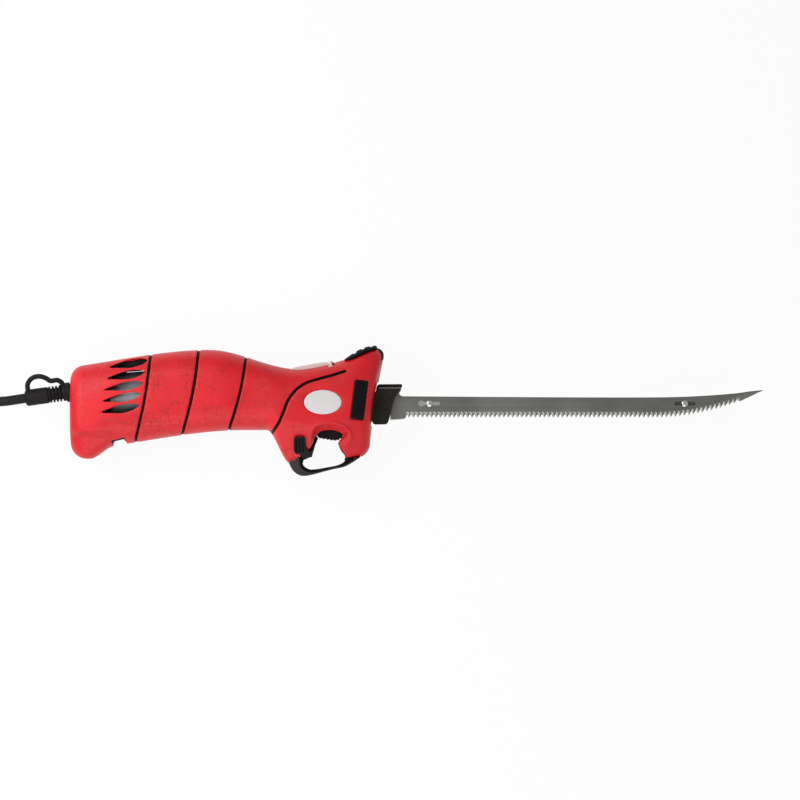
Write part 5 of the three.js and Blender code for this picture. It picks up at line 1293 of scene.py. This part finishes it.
def makeBlade(side, name):
    b = bladeSetup
    blade = bladeSolid(side)
    z0, z1 = sorted((side * b["inner"], side * (b["inner"] + b["thick"])))
    tangX, tangHalf = b["tang"]
    carve(blade, block("tang", tangX, b["heel"] + 0.2, -tangHalf, tangHalf, z0, z1), how="UNION")
    if side > 0:
        carve(blade, prism("shoulder", b["shoulder"], z0, z1), how="UNION")
        for x in b["rivets"]:
            carve(blade, slotCut(x, b["rivetY"], b["run"], b["slotHalf"]))
        carve(blade, rod("key", b["rivets"][0] - b["run"], b["rivetY"], -2, 8, b["key"], 28))
    else:
        carve(blade, *[rod("bore", x, b["rivetY"], -8, 8, b["bore"], 28) for x in b["rivets"]])
    finish, *extra = b["finishes"]
    place(blade, name + "_bladeSteel", finish, name + "_blades", [name + "_blade"], "blade", sharp=18, extra=extra)


makeBlade(1, "right")
makeBlade(-1, "left")

# rivets with domed heads
rivetSetup = {"face": 1.45, "head": 1.95, "rise": 0.7, "shank": 0.95}


def makeRivet(x0, name):
    r = rivetSetup
    profile = [(-(r["face"] + r["rise"]), 0.02)]
    for t in np.linspace(0.12, 1, 8):
        profile.append((-(r["face"] + r["rise"] * math.sqrt(1 - (t * 0.97) ** 2)), r["head"] * t))
    profile += [(-r["face"], r["head"]), (-r["face"], r["shank"])]
    profile += [(-u, w) for u, w in profile[::-1]]
    rivet = upright("rivet", x0, bladeSetup["rivetY"], profile, 40)
    place(rivet, name + "_rivetHead", "polishedSteelAndPaintedReflection", "left_blades", [name + "_rivet"], "steel", sharp=50)


makeRivet(bladeSetup["rivets"][0], "heel")
makeRivet(bladeSetup["rivets"][1], "tip")

# blade bases: ribbed blocks with a hollow front, the far one standing higher
baseSetup = {"edge": [(204.3, 10.2), (202.7, 8.1), (200.9, 5.0), (199.1, -0.3), (198.2, -4.7), (197.1, -8.7),
                      (196.4, -10.4), (195.2, -11.4)],
             "back": [(188.6, -11.5), (187.3, -10.8), (186.8, -9.4), (186.8, -6.9), (187.0, -2.5), (187.7, 4.2),
                      (188.8, 8.8)],
             "rear": [(189.6, 12.4), (190.7, 13.5), (204.6, 13.6), (205.3, 13.2), (205.4, 12.3)],
             "front": [(189.3, 10.1), (190.1, 10.7), (203.8, 10.7)],
             "out": 6.0, "inner": 1.45, "tang": (170.5, 4.6), "lug": (172.0, 175.0, -2.2, 3.2),
             "neck": (179.0, 189.0, -9.6, 8.6), "neckIn": 0.4, "carrier": 3.8, "ribs": 8, "ribStart": 1.5,
             "ribOver": 2.4, "pitch": 1.32, "half": 0.34, "deep": 0.5, "border": (192.0, 0.8, -0.6),
             "soft": (0.26, 2, 0.35)}


def makeBase(side, name):
    b = baseSetup
    curve = throughPoints(b["edge"], 50)
    top = b["front"] if side > 0 else b["rear"]
    outline = [*top, *curve, *throughPoints(b["back"], 30)]

    def span(a, c):
        return sorted((side * a, side * c))
    body = prism("base", outline, *span(b["inner"], b["out"]))
    middle, rearIn, frontIn = b["border"]
    inside = [(x + (rearIn if x < middle else frontIn), y) for x, y in outline]
    aside = np.array([b["half"], 0])
    for i in range(b["ribs"]):
        line = curve - np.array([b["ribStart"] + i * b["pitch"], 0])
        line = np.vstack([line[:1] + np.array([0, b["ribOver"]]), line])
        tool = prism("rib", [*(line + aside), *(line - aside)[::-1]], *span(b["out"] - b["deep"], b["out"] + 2))
        carve(tool, prism("inside", inside, -20, 20), how="INTERSECT")
        carve(body, tool)
    tangX, tangHalf = b["tang"]
    parts = [block("tongue", tangX, b["neck"][1], -tangHalf, tangHalf, *span(b["inner"], b["carrier"])),
             block("lug", *b["lug"], *span(b["inner"], b["out"])),
             block("neck", *b["neck"], *span(b["inner"], b["out"] - b["neckIn"]))]
    carve(body, *parts, how="UNION")
    soften(body, *b["soft"])
    place(body, name + "_baseBlock", "baseNylon", name + "_blades", [name + "_blade_base"], "rubber")


makeBase(1, "right")
makeBase(-1, "left")
print("trim, blades, rivets and bases made")

# strain relief: ribbed sleeve with a flange, and the hanging loop moulded to it
reliefSetup = {"long": 28.5, "bore": 3.3, "sleeve": 5.1, "neck": 3.75, "flange": 6.1, "flangeThick": 2.4,
               "ribStart": -13.5, "ribs": 4, "pitch": 2.1, "groove": (0.55, 0.5), "inside": 7.3, "collar": 2.2,
               "face": -0.3, "ease": 0.6, "lead": 0.8, "end": (1.2, 1.0), "loop": 1.55, "soft": (0.2, 2, 0.3),
               "line": [(-26.6, 9), (-26.9, 13.4), (-24.2, 17.2), (-19.6, 18.4), (-15.5, 17.2), (-12.8, 15.6),
                        (-8.4, 16), (-5.6, 14.2), (-4.9, 11.4)]}


def makeRelief():
    r = reliefSetup
    long, s, face = r["long"], r["sleeve"], r["face"]
    collar, flangeEnd = r["inside"] - r["collar"], r["face"] - r["flangeThick"]
    profile = [(-long, r["bore"]), (r["inside"], r["bore"]), (r["inside"], r["flange"]), (collar, r["flange"]),
               (collar, s), (face, s), (face, r["flange"]), (flangeEnd, r["flange"]), (flangeEnd - r["ease"], s),
               (r["ribStart"] + r["ribs"] * r["pitch"], s)]
    near, far = (share * r["pitch"] for share in r["groove"])
    for i in range(r["ribs"] - 1, -1, -1):
        at = r["ribStart"] + i * r["pitch"]
        profile += [(at + r["pitch"], r["neck"]), (at + near, r["neck"]), (at + far, s), (at, s)]
    endLong, endThin = r["end"]
    profile += [(r["ribStart"], r["neck"]), (r["ribStart"] - r["lead"], s), (endLong - long, s), (-long, s - endThin)]
    sleeve = turnMesh(turnedAbout("relief", profile), cordSetup["drop"], (0, cordSetup["axisY"]))
    loop = swept("loop", np.c_[throughPoints(r["line"], 90), np.zeros(90)], r["loop"], 20)
    carve(loop, cordBar("cordRoom", -long - 20, 16, r["bore"]))
    carve(sleeve, loop, how="UNION")
    soften(sleeve, *r["soft"])
    place(sleeve, "strainRelief", "softRubber", "housing", ["strain_relief"], "rubber")


makeRelief()

# motor can, seen through the vents: drawn cup with rolled edges
motorSetup = {"middle": (55.0, 6.27), "tilt": 4.18, "radius": 16.0, "half": 30.0, "wall": 1.4, "bush": 4.5}


def makeCan():
    m = motorSetup
    h, r, w = m["half"], m["radius"], m["wall"]
    profile = [(h, m["bush"]), (h, r - 2.0), (h - 0.6, r - 0.6), (h - 2.0, r), (-h + 0.5, r), (-h, r - 0.4),
               (-h, r - w), (h - w, r - w), (h - w, m["bush"])]
    can = turnMesh(turnedAbout("can", profile, 96), m["tilt"], m["middle"])
    place(can, "motorCan", "canSteel", "housing", ["motor_can"], "steel", sharp=40)


makeCan()

# housing screws with cross recesses, seen down their holes on the far side
screwSetup = {"seat": 9.3, "head": 2.9, "tall": 2.2, "shank": 1.5, "reach": 9.0, "pitch": 1.1, "root": 1.2,
              "point": 0.9, "cross": (2.0, 0.4, 1.2)}


def makeScrew(i, x0, y0):
    s = screwSetup
    head, shank, z = s["head"], s["shank"], -s["seat"]
    low = z - s["tall"]
    profile = [(low, 0.02), (low, head * 0.6), (low + 0.25, head * 0.88), (low + 0.7, head), (z, head), (z, shank)]
    while z < s["reach"] - 1.4:
        profile += [(z + 0.35, s["root"]), (z + 0.75, s["root"]), (z + s["pitch"], shank)]
        z += s["pitch"]
    profile += [(s["reach"] - 0.2, s["point"]), (s["reach"], 0.02)]
    screw = upright("screw", x0, y0, profile, 36)
    long, half, deep = s["cross"]
    for across, up in ((long, half), (half, long)):
        carve(screw, block("bar", x0 - across, x0 + across, y0 - up, y0 + up, low - 1, low + deep))
    place(screw, "housingScrew_%d" % i, "turnedSteel", "housing", ["screw_%d" % i], "steel", sharp=35)


for index, (screwX, screwY) in enumerate(openings["screws"]):
    makeScrew(index + 1, screwX, screwY)
print("relief, motor can and screws made")

# springs: a coil over the trigger and a bowed leaf under the release button, squeezed as these move
springSetup = {"x": 161.5, "foot": -12.9, "length": 5.0, "radius": 2.2, "turns": 4, "wire": 0.22,
               "leafX": 145.0, "leafLong": 9.0, "leafHalf": 3.0, "leafThick": 0.4, "leafBow": 1.3, "leafDeep": 3.2}


def makeSprings():
    s = springSetup
    turn = np.linspace(0, 2 * math.pi * s["turns"], 40 * s["turns"] + 1)
    low, high = s["foot"] + s["wire"], s["foot"] + s["length"] - s["wire"]
    out, up = circle(s["radius"], 0, s["wire"], 12).T
    rings = [np.c_[s["x"] + out * math.cos(a), y + up, out * math.sin(a)]
             for a, y in zip(turn, np.linspace(low, high, len(turn)))]
    ends = toRow([[s["x"], s["foot"] + s["length"], 0], [s["x"], s["foot"], 0]])
    place(loft("coil", rings), "triggerCoil", "turnedSteel", ("housing", "trigger", *ends), ["trigger_spring"], "steel")
    u = np.linspace(-1, 1, 33)
    x = s["leafX"] + u * s["leafLong"] / 2
    top = lineAt("top", x)
    low = top - s["leafDeep"] + s["leafBow"] * (1 - u ** 2)
    x = x + leanAt(x, top)
    leaf = prism("leaf", [*zip(x, low + s["leafThick"]), *zip(x[::-1], low[::-1])], -s["leafHalf"], s["leafHalf"])
    ends = toRow([[x[16], top[16] - s["leafDeep"], 0], [x[16], low[16], 0]])
    place(leaf, "releaseLeaf", "turnedSteel", ("housing", "release", *ends), ["release_spring"], "steel", sharp=40)


makeSprings()

# inner works keep their carried-over meshes and take a finish each
innerFinish = {
    "ferrite": ("magnet_upper", "magnet_lower"),
    "stackedIron": ("armature_core",),
    "copperWire": ("winding_rear", "winding_front", "commutator"),
    "blackNylon": ("motor_end_cap", "right_carrier", "left_carrier", "switch_body"),
    "carbonBlock": ("brush_upper", "brush_lower"),
    "brightBrass": ("rear_bush", "front_bush"),
    "turnedSteel": ("motor_shaft", "middle_bearing", "end_bearing", "worm", "wheel_axle"),
    "naturalNylon": ("cooling_fan", "worm_wheel", "switch_plunger"),
}
for finish, nodes in innerFinish.items():
    for node in nodes:
        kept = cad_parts[node].data
        kept.materials.clear()
        kept.materials.append(makeFinish(finish))
print("inner works finished")

# floor, light and finish
stageSetup = {"world": 0.36, "white": 0.94, "floor": 3.0,
              "lamps": {
                  "keyLight": {"spot": (-0.37, 0.14, 0.33), "aim": (-0.12, 0.0, 0.02), "size": 0.4, "power": 1.35},
                  "fillLight": {"spot": (-0.16, -0.5, 0.46), "aim": (-0.08, 0.0, 0.02), "size": 0.7, "power": 2.2}}}


def makeStage():
    world = bpy.data.worlds.new("room")
    scene.world = world
    world.use_nodes = True
    back = world.node_tree.nodes["Background"]
    back.inputs["Color"].default_value = (1, 1, 1, 1)
    path = world.node_tree.nodes.new("ShaderNodeLightPath")
    level = wire(world.node_tree, "ShaderNodeMix", data_type="FLOAT")
    level.inputs["A"].default_value = stageSetup["world"]
    level.inputs["B"].default_value = 1.0
    world.node_tree.links.new(path.outputs["Is Camera Ray"], level.inputs["Factor"])
    world.node_tree.links.new(level.outputs["Result"], back.inputs["Strength"])
    wide = stageSetup["floor"]
    floor = solidOf("floor", [(-wide, -wide, 0), (wide, -wide, 0), (wide, wide, 0), (-wide, wide, 0)], [(0, 1, 2, 3)])
    mat = bpy.data.materials.new("paleFloor")
    mat.use_nodes = True
    tree = mat.node_tree
    tree.nodes.clear()
    out = tree.nodes.new("ShaderNodeOutputMaterial")
    matt = wire(tree, "ShaderNodeBsdfDiffuse", Color=(0.9, 0.9, 0.9, 1))
    glow = wire(tree, "ShaderNodeEmission", Color=(1, 1, 1, 1), Strength=1.0)
    light = tree.nodes.new("ShaderNodeLightPath")
    seen = worked(tree, "MAXIMUM", light.outputs["Is Camera Ray"], light.outputs["Is Glossy Ray"])
    share = wire(tree, "ShaderNodeMath", operation="MULTIPLY")
    tree.links.new(seen, share.inputs[0])
    share.inputs[1].default_value = stageSetup["white"]
    mix = tree.nodes.new("ShaderNodeMixShader")
    tree.links.new(share.outputs["Value"], mix.inputs["Fac"])
    tree.links.new(matt.outputs["BSDF"], mix.inputs[1])
    tree.links.new(glow.outputs["Emission"], mix.inputs[2])
    tree.links.new(mix.outputs["Shader"], out.inputs["Surface"])
    floor.data.materials.append(mat)
    for name, lit in stageSetup["lamps"].items():
        data = bpy.data.lights.new(name, "AREA")
        data.energy = lit["power"]
        data.size = lit["size"]
        lamp = bpy.data.objects.new(name, data)
        lamp.location = lit["spot"]
        lamp.rotation_euler = (Vector(lit["aim"]) - Vector(lit["spot"])).to_track_quat("-Z", "Y").to_euler()
        scene.collection.objects.link(lamp)


makeStage()
print("stage made")
